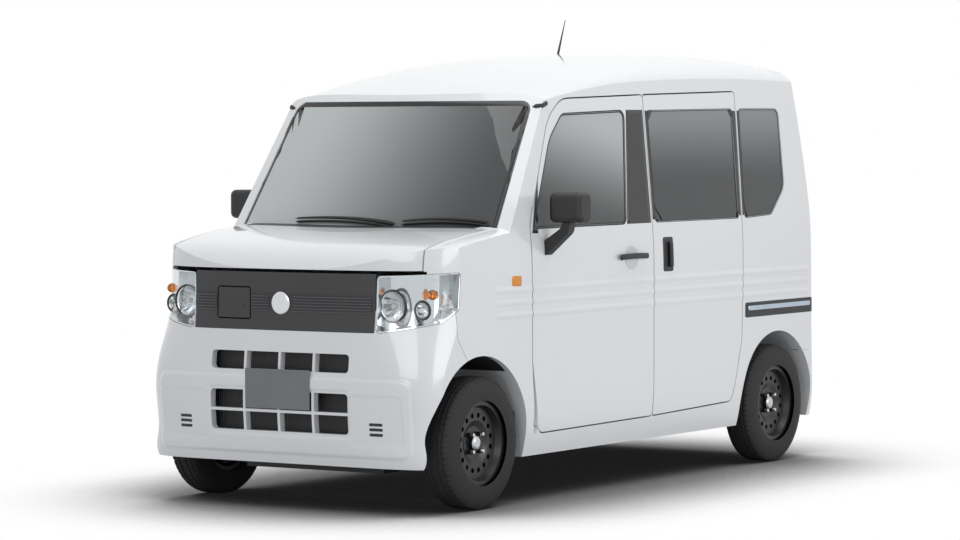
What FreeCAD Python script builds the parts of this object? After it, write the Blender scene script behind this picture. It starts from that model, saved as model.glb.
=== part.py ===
# Small battery-electric delivery van of the Japanese kei class, built as separate panels, glass and running gear.
# Millimetres. +X points to the nose, +Y to the vehicle's left, +Z up.
# The origin lies on the ground under the middle of the body's length and width.
import FreeCAD, Part
import functools
import math
import os
from FreeCAD import Rotation, Vector

doc = FreeCAD.newDocument("kei_van")
sheet = doc.addObject("Spreadsheet::Sheet", "Sizes")

SIZES = [
    # overall
    ("body_length", 3395, "bumper to bumper"),
    ("body_width", 1475, "over the side beads"),
    ("roof_height", 1930, "crown of the roof above the ground"),
    ("overrun", 40, "how far a cutting tool runs past what it cuts"),
    # wheels and their places
    ("wheelbase", 2520, "front axle to rear axle"),
    ("front_axle_x", 1243.5, "front axle ahead of the body's middle"),
    ("wheel_track", 1310, "tyre centre to tyre centre"),
    ("tyre_radius", 278, "145/80 R13"),
    ("tyre_width", 145, "section width"),
    ("tyre_tread_width", 116, "flat part of the tread"),
    ("tyre_shoulder", 20, "sloping shoulder from tread to side wall"),
    ("tyre_widest_radius", 226, "where the side wall bulges most"),
    ("rim_radius", 165, "bead seat, 13 inch"),
    ("rim_flange", 178, "outer edge of the rim"),
    ("rim_width", 112, "over the flanges"),
    ("rim_sheet", 6, "pressed steel with its rolled edge"),
    ("disc_depth", 26, "how far the wheel disc lies inside the outer flange"),
    ("hand_hole_radius", 11, "ventilation holes in the wheel disc"),
    ("hand_hole_ring", 116, "radius of the ring of holes"),
    ("hub_bore", 28, "centre bore of the wheel"),
    ("hub_cap_radius", 33, "bright centre cap"),
    ("nut_ring", 50, "wheel nut circle radius"),
    ("nut_radius", 10, "wheel nut"),
    ("nut_height", 16, "wheel nut"),
    ("running_gap", 0.09, "radial clearance of a turning fit"),
    ("spindle_length", 60, "from the knuckle into the wheel"),
    ("brake_radius", 104, "front brake disc, above the lower arm"),
    # body shell section
    ("bead_depth", 4.5, "side beads stand out by this"),
    ("bead_height", 33, "height of one side bead"),
    ("bead_pitch", 52, "between side beads"),
    ("bead_middle_z", 853, "middle bead"),
    ("bead_front_x", 1165, "beads fade out on the front wing"),
    ("bead_rear_x", -1590, "beads fade out before the tail lamps"),
    ("bead_fade", 45, "length of the fade"),
    ("sill_z", 195, "lower edge of the body"),
    ("rocker_tuck", 33, "how far the sill turns in under the doors"),
    ("rocker_z", 440, "the side is upright from here"),
    ("shoulder_z", 950, "up to here"),
    ("belt_z", 1150, "bottom of the side windows"),
    ("belt_tuck", 9, "inward curve up to the windows"),
    ("side_lean", 64, "how far the side leans in over lean_rise"),
    ("lean_rise", 550, "height over which the side leans in"),
    ("section_top", 2100, "above the roof"),
    ("drip_overlap", 6, "roof skin over the side"),
    ("door_wall", 58, "thickness of doors and side walls"),
    ("roof_wall", 38, "thickness of the roof with its bows"),
    ("tail_wall", 62, "thickness of the tailgate"),
    ("panel_gap", 6, "gap round doors and lids"),
    ("seam", 3, "gap between fixed panels"),
    ("bay_wall", 26, "thickness of wings, bonnet and bumpers"),
    # windscreen
    ("screen_foot_x", 1139, "windscreen on the centre line at screen_foot_z"),
    ("screen_foot_z", 1167, "height of that point"),
    ("screen_slope", 359, "how far the windscreen runs back over screen_rise"),
    ("screen_rise", 516, "height over which it does so"),
    ("screen_radius", 2270, "bend of the windscreen seen from above"),
    ("glass_thickness", 5, "all windows"),
    ("glass_inset", 4, "side glass behind the panel surface"),
    ("seat_gap", 0.3, "between a pane and the frame that it sits in"),
    ("clearance", 5.2, "least room round a moving piece"),
    ("screen_top_z", 1700, "upper edge of the windscreen"),
    ("screen_bottom_z", 1128, "lower edge of the windscreen"),
    ("screen_top_half", 618, "half width of the windscreen opening at the top"),
    ("screen_bottom_half", 668, "half width at the bottom"),
    ("screen_corner", 55, "corner radius"),
    # side cuts
    ("door_front_x", 874, "front door's leading edge"),
    ("door_mid_x", -136, "front door meets the sliding door"),
    ("door_mid_top_x", -162, "the same cut at the drip line"),
    ("door_rear_x", -952, "sliding door's rear edge"),
    ("door_rear_top_x", -1000, "the same cut at the drip line"),
    ("door_bottom_z", 297, "lower edge of the doors"),
    ("door_top_z", 1728, "upper edge of the doors"),
    ("pillar_top_x", 560, "front door's upper front corner"),
    ("pillar_top_z", 1700, "height of that corner"),
    ("front_glass_rear_x", 60, "rear edge of the front door glass at mid height"),
    ("glass_bottom_z", 1162, "lower edge of the side glass"),
    ("glass_top_z", 1655, "upper edge of the side glass"),
    ("quarter_glass_rear_x", -1388, "rear edge of the quarter window"),
    # nose
    ("hood_side_y", 655, "bonnet's side cut"),
    ("hood_taper", 18.5, "bonnet's side cut runs in by this at the nose, out by this at the rear"),
    ("hood_front_z", 1000, "bonnet's lower front edge"),
    ("grille_top_z", 991, "upper edge of the grille panel"),
    ("grille_bottom_z", 748, "lower edge of the grille panel"),
    ("grille_half", 462, "half width of the grille panel"),
    ("grille_depth", 34, "thickness of the grille panel"),
    ("rib_count", 6, "thin ribs across the grille panel"),
    ("rib_pitch", 12, "between ribs"),
    ("rib_height", 4, "one rib"),
    ("rib_proud", 3, "how far a rib stands out"),
    ("hood_back", 60, "bonnet's rear edge ahead of the windscreen's foot"),
    ("lamp_tip_z", 839, "headlamp's lower outer corner"),
    ("lamp_knee_z", 788, "headlamp's lower edge where it turns up"),
    ("wing_top_z", 1236, "wing meets the windscreen pillar at the door"),
    ("lamp_depth", 90, "depth of the headlamp behind its lens"),
    ("lens_thickness", 4, "headlamp lens"),
    ("bumper_seam_x", 1452, "bumper meets the wing above the arch"),
    ("bumper_seam_z", 724, "the seam turns back to the arch here"),
    ("upper_slot_top", 659, "upper bumper opening"),
    ("upper_slot_bottom", 582, "upper bumper opening"),
    ("lower_slot_top", 497, "lower bumper opening"),
    ("lower_slot_bottom", 329, "lower bumper opening"),
    ("slot_half", 352, "half width of the bumper openings"),
    ("slot_bar", 12, "bars in the bumper openings"),
    ("slot_corner", 18, "corner radius of the bumper openings"),
    ("lid_width", 181, "opening for the charge lid"),
    ("lid_height", 138, "opening for the charge lid"),
    ("lid_middle_y", -245.5, "charge lid, to the right of the middle"),
    ("lid_middle_z", 859.5, "charge lid"),
    ("lid_corner", 14, "corner radius"),
    ("lid_thickness", 7, "charge lid"),
    ("lid_pin_radius", 2, "hinge pin of the charge lid"),
    ("lid_pin_reach", 14, "how far the pin stands in the grille panel"),
    ("port_depth", 60, "charge port behind the grille panel"),
    ("socket_radius", 28, "charge socket"),
    ("bumper_arch_x", 1337, "bumper's edge at the arch"),
    ("plate_width", 330, "registration plate"),
    ("plate_height", 165, "registration plate"),
    ("plate_thickness", 2, "registration plate"),
    ("front_plate_z", 506, "middle of the front plate"),
    ("front_plate_x", 1697.5, "front face of the front plate"),
    ("sliver_volume", 20000, "leftover pieces smaller than this are dropped"),
    # arches
    ("front_arch_x", 1266, "middle of the front arch"),
    ("front_arch_z", 288, "middle of the front arch"),
    ("front_arch_radius", 354, "front arch"),
    ("rear_arch_radius", 342, "rear arch"),
    ("arch_inner_y", 395, "inner wall of the wheel housing"),
    ("liner_thickness", 4, "wheel housing liner"),
    # tail
    ("gate_half", 610, "half width of the tailgate at the bottom"),
    ("gate_bottom_z", 520, "lower edge of the tailgate"),
    ("gate_seam_x", -1505, "seam between roof and tailgate"),
    ("gate_glass_half", 520, "half width of the rear window"),
    ("gate_glass_bottom", 1205, "rear window"),
    ("gate_glass_top", 1640, "rear window"),
    ("tail_lamp_bottom", 800, "tail lamp"),
    ("tail_lamp_top", 1080, "tail lamp"),
    ("tail_lamp_depth", 40, "tail lamp"),
    # floor and running gear
    ("floor_z", 430, "top of the front floor"),
    ("cargo_floor_z", 525, "top of the cargo floor"),
    ("floor_thickness", 40, "floor panel with its ribs"),
    ("floor_half", 650, "half width of the floor beside the doors"),
    ("dash_half", 640, "half width of the dashboard"),
    ("kick_x", -560, "step from front floor to cargo floor"),
    ("bulkhead_x", 1020, "bulkhead ahead of the footwell"),
    ("rail_half", 390, "long rails under the floor"),
    ("front_rail_end_x", 1561.7, "long rails end behind the bumper"),
    ("rail_width", 70, "long rails"),
    ("rail_height", 80, "long rails"),
    ("pack_length", 1150, "battery pack"),
    ("pack_width", 630, "battery pack"),
    ("pack_middle_x", 150, "battery pack"),
    ("pack_bottom_z", 175, "battery pack, ground clearance"),
    ("drive_length", 400, "motor with its inverter"),
    ("drive_width", 560, "motor with its inverter"),
    ("drive_height", 470, "motor with its inverter"),
    ("drive_bottom_z", 262, "motor with its inverter"),
    ("axle_beam_radius", 34, "rear twist beam"),
    ("ball_joint_y", 600, "lower ball joint"),
    ("ball_joint_z", 185, "lower ball joint"),
    ("strut_top_y", 492, "strut bearing"),
    ("strut_top_z", 800, "strut bearing"),
    ("strut_radius", 22, "strut tube"),
    ("spring_radius", 48, "coil spring outside"),
    ("boot_radius", 34, "rubber boot inside the spring"),
    ("spring_bottom_z", 592, "lower end of the spring"),
    ("pin_radius", 5, "hinge pins"),
    ("knuckle_radius", 9, "hinge eyes"),
    ("hinge_back", 34, "door hinge axis behind the cut"),
    ("hinge_in", 16, "door hinge axis inside the surface"),
    ("hinge_arm", 14, "height of a hinge arm"),
    ("hinge_reach", 20, "how far a pin stands in the door"),
    ("hinge_low_z", 520, "lower door hinge"),
    ("hinge_high_z", 1010, "upper door hinge"),
    ("swing_near_z", 332, "the door's front edge needs its full room above this height"),
    ("door_skin", 5, "door metal left outside the hinge notch"),
    ("hood_axis_x", 1098, "bonnet hinge axis"),
    ("hood_axis_z", 1153, "bonnet hinge axis"),
    ("hood_arm_y", 620, "middle of a bonnet hinge arm"),
    ("gate_axis_x", -1462, "tailgate hinge axis"),
    ("gate_axis_depth", 10, "tailgate hinge axis below the roof skin"),
    ("gate_arm_y", 350, "middle of a tailgate hinge arm"),
    # door mirrors
    ("mirror_x", 750, "middle of the mirror head"),
    ("mirror_depth", 96, "mirror head along the vehicle"),
    ("mirror_inner_y", 762, "mirror head"),
    ("mirror_outer_y", 930, "mirror head"),
    ("mirror_low_z", 1182, "mirror head"),
    ("mirror_high_z", 1310, "mirror head"),
    ("mirror_round", 26, "rounding of the mirror head"),
    ("mirror_foot_low_z", 1044, "mirror arm on the door"),
    ("mirror_foot_high_z", 1100, "mirror arm on the door"),
    ("mirror_arm_width", 44, "mirror arm along the vehicle"),
    # cabin
    ("wheel_rim_radius", 180, "steering wheel"),
    ("wheel_rim_section", 14, "steering wheel rim"),
    ("driver_y", -330, "middle of the driver's seat"),
    ("steering_x", 640, "middle of the steering wheel"),
    ("steering_z", 985, "middle of the steering wheel"),
    ("steering_tilt", 38, "degrees from upright"),
    ("column_length", 133, "steering shaft in the column"),
    ("column_radius", 33, "steering column"),
    ("boss_radius", 50, "middle of the steering wheel"),
    ("boss_depth", 30, "middle of the steering wheel"),
    ("seat_width", 470, "front seats"),
    ("seat_front_x", 330, "front edge of the seat cushions"),
    ("seat_length", 480, "seat cushion"),
    ("seat_thickness", 110, "seat cushion"),
    ("seat_top_z", 800, "top of the seat cushion"),
    ("back_height", 600, "seat back"),
    ("back_thickness", 110, "seat back"),
    ("back_lean", 14, "degrees"),
    ("back_shift", 8.9, "brings the leaning back against the cushion"),
    ("antenna_length", 165, "roof antenna"),
    ("antenna_root", 19.3, "its foot below the highest point of the roof"),
    ("antenna_lean", 22, "degrees"),
    ("antenna_x", -500, "roof antenna"),
]
for row, (name, value, note) in enumerate(SIZES, 1):
    sheet.set(f"A{row}", name)
    sheet.set(f"B{row}", str(value))
    sheet.set(f"C{row}", note)
    sheet.setAlias(f"B{row}", name)
doc.recompute()


class Dimensions:
    """The sheet's values by name, for the shapes that are worked out in code."""

    def __getattr__(self, name):
        return float(sheet.get(name))


dim = Dimensions()
SIDES = {"left": 1, "right": -1}
nodes = {}


# plain geometry helpers
def side_plane(y=0.0):
    return lambda a, b: Vector(a, y, b)


def floor_plane(z=0.0):
    return lambda a, b: Vector(a, b, z)


def cross_plane(x=0.0):
    return lambda a, b: Vector(x, a, b)


def rounded_loop(corners, lift):
    """Closed wire through corners (a, b, radius); each corner becomes a tangent arc of its radius."""
    stations = []
    for index, (a, b, radius) in enumerate(corners):
        here = Vector(a, b, 0)
        before = Vector(*corners[index - 1][:2], 0) - here
        after = Vector(*corners[(index + 1) % len(corners)][:2], 0) - here
        if not radius:
            stations.append((here, here, here))
            continue
        half_angle = before.getAngle(after) / 2
        reach = radius / math.tan(half_angle)
        reach = min(reach, 0.49 * before.Length, 0.49 * after.Length)
        radius = reach * math.tan(half_angle)
        start = here + before.normalize() * reach
        end = here + after.normalize() * reach
        bisector = (before + after).normalize()
        middle = here + bisector * (radius / math.sin(half_angle) - radius)
        stations.append((start, middle, end))
    edges = []
    for index, (start, middle, end) in enumerate(stations):
        if (start - end).Length > 0:
            edges.append(Part.Arc(lift(start.x, start.y), lift(middle.x, middle.y), lift(end.x, end.y)).toShape())
        following = stations[(index + 1) % len(stations)][0]
        if (following - end).Length > 0:
            edges.append(Part.LineSegment(lift(end.x, end.y), lift(following.x, following.y)).toShape())
    return Part.Wire(edges)


def prism(corners, lift, direction):
    """Solid made by pushing a closed outline along a direction."""
    return Part.Face(rounded_loop(corners, lift)).extrude(direction)


def side_prism(corners, inner_y, outer_y):
    """Outline in the side view, pushed across the vehicle from inner_y to outer_y."""
    return prism(corners, side_plane(inner_y), Vector(0, outer_y - inner_y, 0))


def block(x_low, x_high, y_low, y_high, z_low, z_high):
    return Part.makeBox(x_high - x_low, y_high - y_low, z_high - z_low, Vector(x_low, y_low, z_low))


def rod(start, end, radius):
    return Part.makeCylinder(radius, (end - start).Length, start, end - start)


def turned(profile, centre, axis):
    """Ring turned from a closed outline (distance from the axis, place along the axis)."""
    lift = lambda radius, along: centre + Vector(1, 0, 0) * radius + axis * along
    return Part.Face(rounded_loop(profile, lift)).revolve(centre, axis, 360)


def mirrored(shape):
    """The same shape on the other side of the vehicle."""
    return shape.mirror(Vector(0, 0, 0), Vector(0, 1, 0))


def on_side(shape, side):
    return shape if side > 0 else mirrored(shape)


def grown(corners, amount):
    """Outline moved outwards by amount, for the opening that a panel sits in."""
    face = Part.Face(rounded_loop([(a, b, 0) for a, b, radius in corners], floor_plane()))
    outline = face.makeOffset2D(amount, 2).OuterWire
    points = [vertex.Point for vertex in outline.OrderedVertexes]
    radii = [radius for a, b, radius in corners]
    result = []
    for point in points:
        nearest = min(range(len(corners)), key=lambda k: math.hypot(corners[k][0] - point.x, corners[k][1] - point.y))
        result.append((point.x, point.y, max(radii[nearest] + amount, 0) if radii[nearest] else 0))
    return result


def keep(name, shape):
    """Stores a finished sub-part in the document under its own label."""
    feature = doc.addObject("Part::Feature", name)
    feature.Label = name
    feature.Shape = shape
    nodes[name] = feature


def without_slivers(shape):
    """The shape's real pieces, without the leftovers that cutting left at its edges."""
    solids = [solid for solid in shape.Solids if solid.Volume > dim.sliver_volume]
    return solids[0] if len(solids) == 1 else Part.makeCompound(solids)


def superellipse(half_width, rise, power, count):
    """Points (across, up) of a superellipse from the right end over the top to the left end."""
    points = []
    for step in range(count + 1):
        angle = math.pi * step / count
        across = abs(math.cos(angle)) ** (2 / power) * math.copysign(1, math.cos(angle))
        if 2 * step == count:
            across = 0
        points.append((half_width * across, rise * abs(math.sin(angle)) ** (2 / power) if 0 < step < count else 0))
    return points


# body surfaces; every function takes an inset, so that inner walls follow the outer skin
half_width = dim.body_width / 2 - dim.bead_depth
lean = dim.side_lean / dim.lean_rise
body_half = dim.body_length / 2


def side_y(z):
    """Half width of the body side at height z above the belt."""
    return half_width - dim.belt_tuck - (z - dim.belt_z) * lean


def side_section(inset, x_low, x_high):
    """Body between its two sides: sill turned in, upright side, then leaning in to the roof."""
    half = half_width - inset
    foot = half - dim.rocker_tuck
    foot_rise = dim.rocker_z - dim.sill_z
    foot_radius = (foot_rise ** 2 + dim.rocker_tuck ** 2) / (2 * dim.rocker_tuck)
    belt_rise = dim.belt_z - dim.shoulder_z
    belt_radius = (belt_rise ** 2 + dim.belt_tuck ** 2) / (2 * dim.belt_tuck)

    def bulge(radius, rise):
        return radius - math.sqrt(radius ** 2 - rise ** 2)

    foot_middle = half - bulge(foot_radius, foot_rise / 2)
    belt_middle = half - bulge(belt_radius, belt_rise / 2)
    top_y = side_y(dim.section_top) - inset
    lift = cross_plane(x_low)
    edges = []
    for s in (1, -1):
        low = Part.Arc(lift(s * foot, dim.sill_z), lift(s * foot_middle, dim.sill_z + foot_rise / 2),
                       lift(s * half, dim.rocker_z))
        middle = Part.LineSegment(lift(s * half, dim.rocker_z), lift(s * half, dim.shoulder_z))
        high = Part.Arc(lift(s * half, dim.shoulder_z), lift(s * belt_middle, dim.shoulder_z + belt_rise / 2),
                        lift(s * (half - dim.belt_tuck), dim.belt_z))
        upper = Part.LineSegment(lift(s * (half - dim.belt_tuck), dim.belt_z), lift(s * top_y, dim.section_top))
        edges.extend([low.toShape(), middle.toShape(), high.toShape(), upper.toShape()])
    edges.append(Part.LineSegment(lift(-foot, dim.sill_z), lift(foot, dim.sill_z)).toShape())
    edges.append(Part.LineSegment(lift(-top_y, dim.section_top), lift(top_y, dim.section_top)).toShape())
    wire = Part.Wire(Part.__sortEdges__(edges))
    return Part.Face(wire).extrude(Vector(x_high - x_low, 0, 0))


# level share of roof height, reach share of half the length, squareness of the plan
FRONT_SHARES = [
    (0.080, 0.972, 5.6), (0.160, 0.990, 6.0), (0.240, 0.9955, 6.2), (0.320, 0.990, 5.5), (0.400, 0.983, 3.7),
    (0.480, 0.982, 3.2), (0.560, 0.978, 3.1), (0.640, 0.975, 3.2),
]
REAR_SHARES = [
    (0.095, 0.990, 7.5), (0.200, 0.996, 7.5), (0.466, 0.990, 7.5), (0.570, 0.985, 7.5), (0.725, 0.966, 7.0),
    (0.905, 0.935, 6.5), (1.100, 0.880, 6.0),
]


def plan_loft(shares, start_x, direction, shift):
    """Nose or tail: plan outlines of superellipse shape, one above the other, joined smoothly."""
    wires = []
    far = -direction * dim.body_length
    for level_share, reach_share, squareness in shares:
        z = level_share * dim.roof_height
        reach = reach_share * body_half - start_x + shift
        half = half_width + dim.overrun / 4 + shift
        points = superellipse(half, reach, squareness, 24)
        curve_points = [Vector(direction * (start_x + up), across, z) for across, up in points]
        curve = Part.BSplineCurve()
        curve.interpolate(curve_points)
        first = curve_points[0]
        last = curve_points[-1]
        back_first = Vector(far, first.y, z)
        back_last = Vector(far, last.y, z)
        wires.append(Part.Wire([curve.toShape(), Part.makeLine(last, back_last),
                                Part.makeLine(back_last, back_first), Part.makeLine(back_first, first)]))
    return Part.makeLoft(wires, True, False)


@functools.lru_cache(maxsize=None)
def nose(shift=0.0):
    return plan_loft(FRONT_SHARES, 0.75 * body_half, 1, shift)


@functools.lru_cache(maxsize=None)
def tail(shift=0.0):
    return plan_loft(REAR_SHARES, 0.84 * body_half, -1, shift)


# place share of half the length, then heights as shares of the roof height
HOOD_SHARES = [
    (0.400, 0.626), (0.600, 0.612), (0.766, 0.596), (0.880, 0.578), (0.950, 0.552), (0.990, 0.505), (1.030, 0.420),
]
HOOD_SHOULDER_SHARE = 0.047
ROOF_SHARES = [
    (0.780, 0.7600, 0.7680), (0.600, 0.8394, 0.8472), (0.393, 0.8710, 0.9078), (0.194, 0.8886, 0.9508),
    (-0.094, 0.9000, 0.9870), (-0.353, 0.9041, 0.9979), (-0.589, 0.9057, 1.0000), (-0.825, 0.9052, 0.9922),
    (-1.037, 0.9031, 0.9715),
]
SCREEN_STATIONS = 2


def crown_loft(stations, power):
    """Solid below a crowned skin: cross-sections (x, half width, shoulder z, crown z) joined smoothly."""
    wires = []
    low = dim.sill_z - dim.overrun
    outer = half_width + 4 * dim.overrun
    for x, half, shoulder, crown in stations:
        lift = cross_plane(x)
        points = [lift(across, shoulder + up) for across, up in superellipse(half, crown - shoulder, power, 24)]
        curve = Part.BSplineCurve()
        curve.interpolate(points)
        ledge = shoulder - dim.overrun
        right = [lift(-half, shoulder), lift(-outer, ledge), lift(-outer, low), lift(outer, low), lift(outer, ledge),
                 lift(half, shoulder)]
        lines = [Part.makeLine(a, b) for a, b in zip(right, right[1:])]
        wires.append(Part.Wire([curve.toShape()] + lines))
    return Part.makeLoft(wires, True, False)


def hood_mass(inset=0.0):
    stations = []
    for x_share, crown_share in HOOD_SHARES:
        crown = crown_share * dim.roof_height - inset
        shoulder = crown - HOOD_SHOULDER_SHARE * dim.roof_height
        stations.append((x_share * body_half - inset, half_width + dim.drip_overlap - inset, shoulder, crown))
    return crown_loft(stations, 5.0)


def roof_mass(side_inset=0.0, top_inset=0.0):
    stations = []
    for x_share, drip_share, crown_share in ROOF_SHARES:
        shoulder = drip_share * dim.roof_height
        crown = crown_share * dim.roof_height - top_inset
        half = side_y(shoulder) + dim.drip_overlap - side_inset
        stations.append((x_share * body_half, half, min(shoulder, crown - dim.drip_overlap), crown))
    return crown_loft(stations, 2.6)


def screen_trim(inset=0.0):
    """Everything behind the windscreen surface: a bowed plan outline pushed up along the screen's slope."""
    slope = dim.screen_slope / dim.screen_rise
    foot_x = dim.screen_foot_x + dim.screen_foot_z * slope - inset
    side = half_width + 4 * dim.overrun
    radius = dim.screen_radius
    side_x = foot_x - radius + math.sqrt(radius ** 2 - side ** 2)
    back_x = -dim.body_length
    arc = Part.Arc(Vector(side_x, -side, 0), Vector(foot_x, 0, 0), Vector(side_x, side, 0)).toShape()
    lines = [Part.makeLine(Vector(side_x, side, 0), Vector(back_x, side, 0)),
             Part.makeLine(Vector(back_x, side, 0), Vector(back_x, -side, 0)),
             Part.makeLine(Vector(back_x, -side, 0), Vector(side_x, -side, 0))]
    rise = dim.section_top
    return Part.Face(Part.Wire([arc] + lines)).extrude(Vector(-slope * rise, 0, rise))


front_reach = body_half + dim.overrun
section = side_section(0, -front_reach, front_reach)
cabin_end = block(-front_reach, dim.screen_foot_x + dim.overrun, -body_half, body_half, 0, dim.section_top)
cabin_mass = roof_mass().common(screen_trim()).common(cabin_end)
outer = section.common(hood_mass().common(nose()).fuse(cabin_mass)).common(tail())


def bead(z):
    """One side bead: a low ridge with a sloping top and bottom that fades out at both ends."""
    root = half_width - dim.bead_depth
    tip = half_width + dim.bead_depth
    half = dim.bead_height / 2
    lift = cross_plane(dim.bead_rear_x)
    outline = [(root, z - half, 0), (half_width, z - half, 0), (tip, z - half / 4, 0), (tip, z + half / 8, 0),
               (half_width, z + half, 0), (root, z + half, 0)]
    ridge = prism(outline, lift, Vector(dim.bead_front_x - dim.bead_rear_x, 0, 0))
    beyond = tip + dim.bead_depth
    wedges = []
    for x, fade in ((dim.bead_front_x, -dim.bead_fade), (dim.bead_rear_x, dim.bead_fade)):
        corners = [(x, half_width, 0), (x, beyond, 0), (x + fade, beyond, 0)]
        wedges.append(prism(corners, floor_plane(z - half), Vector(0, 0, dim.bead_height)))
    return ridge.cut(wedges)


beads = [bead(dim.bead_middle_z + step * dim.bead_pitch) for step in (-1, 0, 1)]
beads += [mirrored(shape) for shape in beads]
outer = outer.fuse(beads).removeSplitter()

# hollow spaces
open_low = dim.sill_z - dim.overrun
tail_shift = tail().translated(Vector(dim.tail_wall, 0, 0))
cabin = side_section(dim.door_wall, -front_reach, front_reach).common(roof_mass(dim.door_wall, dim.roof_wall))
cabin = cabin.common(screen_trim(dim.glass_thickness + dim.glass_inset)).common(tail_shift)
behind_bulkhead = block(-front_reach, dim.bulkhead_x, -half_width, half_width, open_low, dim.section_top)
above_shelf = block(0, front_reach, -half_width, half_width, dim.screen_foot_z + dim.seam, dim.section_top)
cabin = cabin.common(behind_bulkhead.fuse(above_shelf))

bay_rear_x = dim.bulkhead_x + dim.bay_wall
bay = side_section(dim.bay_wall, 0, front_reach).common(hood_mass(dim.bay_wall))
bay = bay.common(nose().translated(Vector(-dim.bay_wall - dim.drip_overlap, 0, 0)))
bay = bay.common(block(bay_rear_x, front_reach, -half_width, half_width, open_low, dim.section_top))
shell = outer.cut([cabin, bay])

rear_axle_x = dim.front_axle_x - dim.wheelbase
axle_z = dim.tyre_radius


def arch_tool(x, z, radius, inner_y, side):
    """Wheel opening: a cylinder across the side, opened down to the ground."""
    start = Vector(x, side * inner_y, z)
    across = Vector(0, side, 0)
    reach = half_width + dim.overrun - inner_y
    ring = Part.makeCylinder(radius, reach, start, across)
    low = dim.sill_z - dim.overrun
    y_ends = sorted((side * inner_y, side * (inner_y + reach)))
    return ring.fuse(block(x - radius, x + radius, y_ends[0], y_ends[1], low, z))


arches = []
for side in SIDES.values():
    arches.append(arch_tool(dim.front_arch_x, dim.front_arch_z, dim.front_arch_radius, dim.arch_inner_y, side))
    arches.append(arch_tool(rear_axle_x, axle_z, dim.rear_arch_radius, dim.arch_inner_y, side))
shell = shell.cut(arches)

# side outlines in the side view, (x, z, corner radius)
corner = dim.panel_gap * 3
door_outline = [
    (dim.door_mid_x + corner / 3, dim.door_bottom_z, corner),
    (dim.door_mid_x, dim.belt_z, 0),
    (dim.door_mid_top_x, dim.door_top_z, corner),
    (dim.pillar_top_x - 2 * corner, dim.pillar_top_z + corner / 2, 10 * corner),
    (dim.pillar_top_x + 5 * corner, dim.pillar_top_z - 4 * corner, 16 * corner),
    (dim.door_front_x, dim.belt_z + corner, 12 * corner),
    (dim.door_front_x, 2 * dim.door_bottom_z, 0),
    (dim.door_front_x - 3 * corner, dim.door_bottom_z - corner / 2, 3 * corner),
]
slide_outline = [
    (dim.door_mid_x + corner / 3, dim.door_bottom_z, corner),
    (dim.door_rear_x + 6 * corner, dim.door_bottom_z + corner, 2 * corner),
    (dim.door_rear_x + corner, 2 * dim.door_bottom_z, 10 * corner),
    (dim.door_rear_x, dim.belt_z, 0),
    (dim.door_rear_top_x, dim.door_top_z + corner, corner),
    (dim.door_mid_top_x, dim.door_top_z, corner),
    (dim.door_mid_x, dim.belt_z, 0),
]
inner_y = half_width / 2
outer_y = half_width + dim.overrun


gap_half = dim.panel_gap / 2
seam_half = dim.seam / 2
front_x = body_half + dim.overrun
rest = shell


def front_view(corners, x_low, x_high):
    """Outline in the front view (y, z), pushed along the vehicle."""
    return prism(corners, cross_plane(x_low), Vector(x_high - x_low, 0, 0))


def rectangle(a_low, a_high, b_low, b_high, radius):
    return [(a_low, b_low, radius), (a_high, b_low, radius), (a_high, b_high, radius), (a_low, b_high, radius)]


def diagonal_prism(corners, reach):
    """Outline seen from the left front corner: (leftward, up), pushed along the diagonal."""
    share = math.sqrt(0.5)
    lift = lambda a, b: Vector(-a * share, a * share, b)
    return prism(corners, lift, Vector(reach * share, reach * share, 0))


def both(shape):
    return [shape, mirrored(shape)]


# side windows, (x, z, radius)
glass_corner = dim.panel_gap * 5
door_glass = [
    (dim.front_glass_rear_x + glass_corner, dim.glass_bottom_z, glass_corner),
    (dim.front_glass_rear_x - 1.6 * glass_corner, dim.glass_top_z, glass_corner),
    (dim.pillar_top_x - glass_corner, dim.glass_top_z - glass_corner / 2, 2 * glass_corner),
    (dim.pillar_top_x + 3 * glass_corner, dim.glass_top_z - 4 * glass_corner, 8 * glass_corner),
    (dim.door_front_x - glass_corner, dim.glass_bottom_z, glass_corner / 2),
]
slide_glass = [
    (dim.door_mid_x - glass_corner, dim.glass_bottom_z, glass_corner / 3),
    (dim.door_rear_x + glass_corner, dim.glass_bottom_z, glass_corner / 3),
    (dim.door_rear_top_x + 1.4 * glass_corner, dim.glass_top_z + glass_corner / 4, glass_corner / 3),
    (dim.door_mid_top_x - glass_corner, dim.glass_top_z, glass_corner / 3),
]
quarter_glass = [
    (dim.door_rear_x - glass_corner, dim.glass_bottom_z, glass_corner / 3),
    (dim.quarter_glass_rear_x + 5 * glass_corner, dim.glass_bottom_z + glass_corner / 3, 2 * glass_corner),
    (dim.quarter_glass_rear_x, dim.glass_bottom_z + 4.5 * glass_corner, 3 * glass_corner),
    (dim.quarter_glass_rear_x - glass_corner / 2, dim.glass_top_z + glass_corner / 4, glass_corner),
    (dim.door_rear_top_x - glass_corner, dim.glass_top_z + glass_corner / 4, glass_corner / 3),
]
glass_skin = side_section(dim.glass_inset, -front_reach, front_reach).cut(
    side_section(dim.glass_inset + dim.glass_thickness, -front_reach, front_reach))


def glass_pane(corners):
    return glass_skin.common(side_prism(grown(corners, -dim.seat_gap), inner_y, outer_y))


door_region = side_prism(grown(door_outline, -gap_half), inner_y, outer_y)
slide_region = side_prism(grown(slide_outline, -gap_half), inner_y, outer_y)
door_panel = shell.common(door_region).cut(side_prism(door_glass, inner_y, outer_y))
slide_panel = shell.common(slide_region).cut(side_prism(slide_glass, inner_y, outer_y))
door_opening = side_prism(grown(door_outline, gap_half), inner_y, outer_y)
slide_opening = side_prism(grown(slide_outline, gap_half), inner_y, outer_y)
quarter_opening = side_prism(quarter_glass, inner_y, outer_y)
rest = rest.cut(both(door_opening) + both(slide_opening) + both(quarter_opening))

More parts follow.
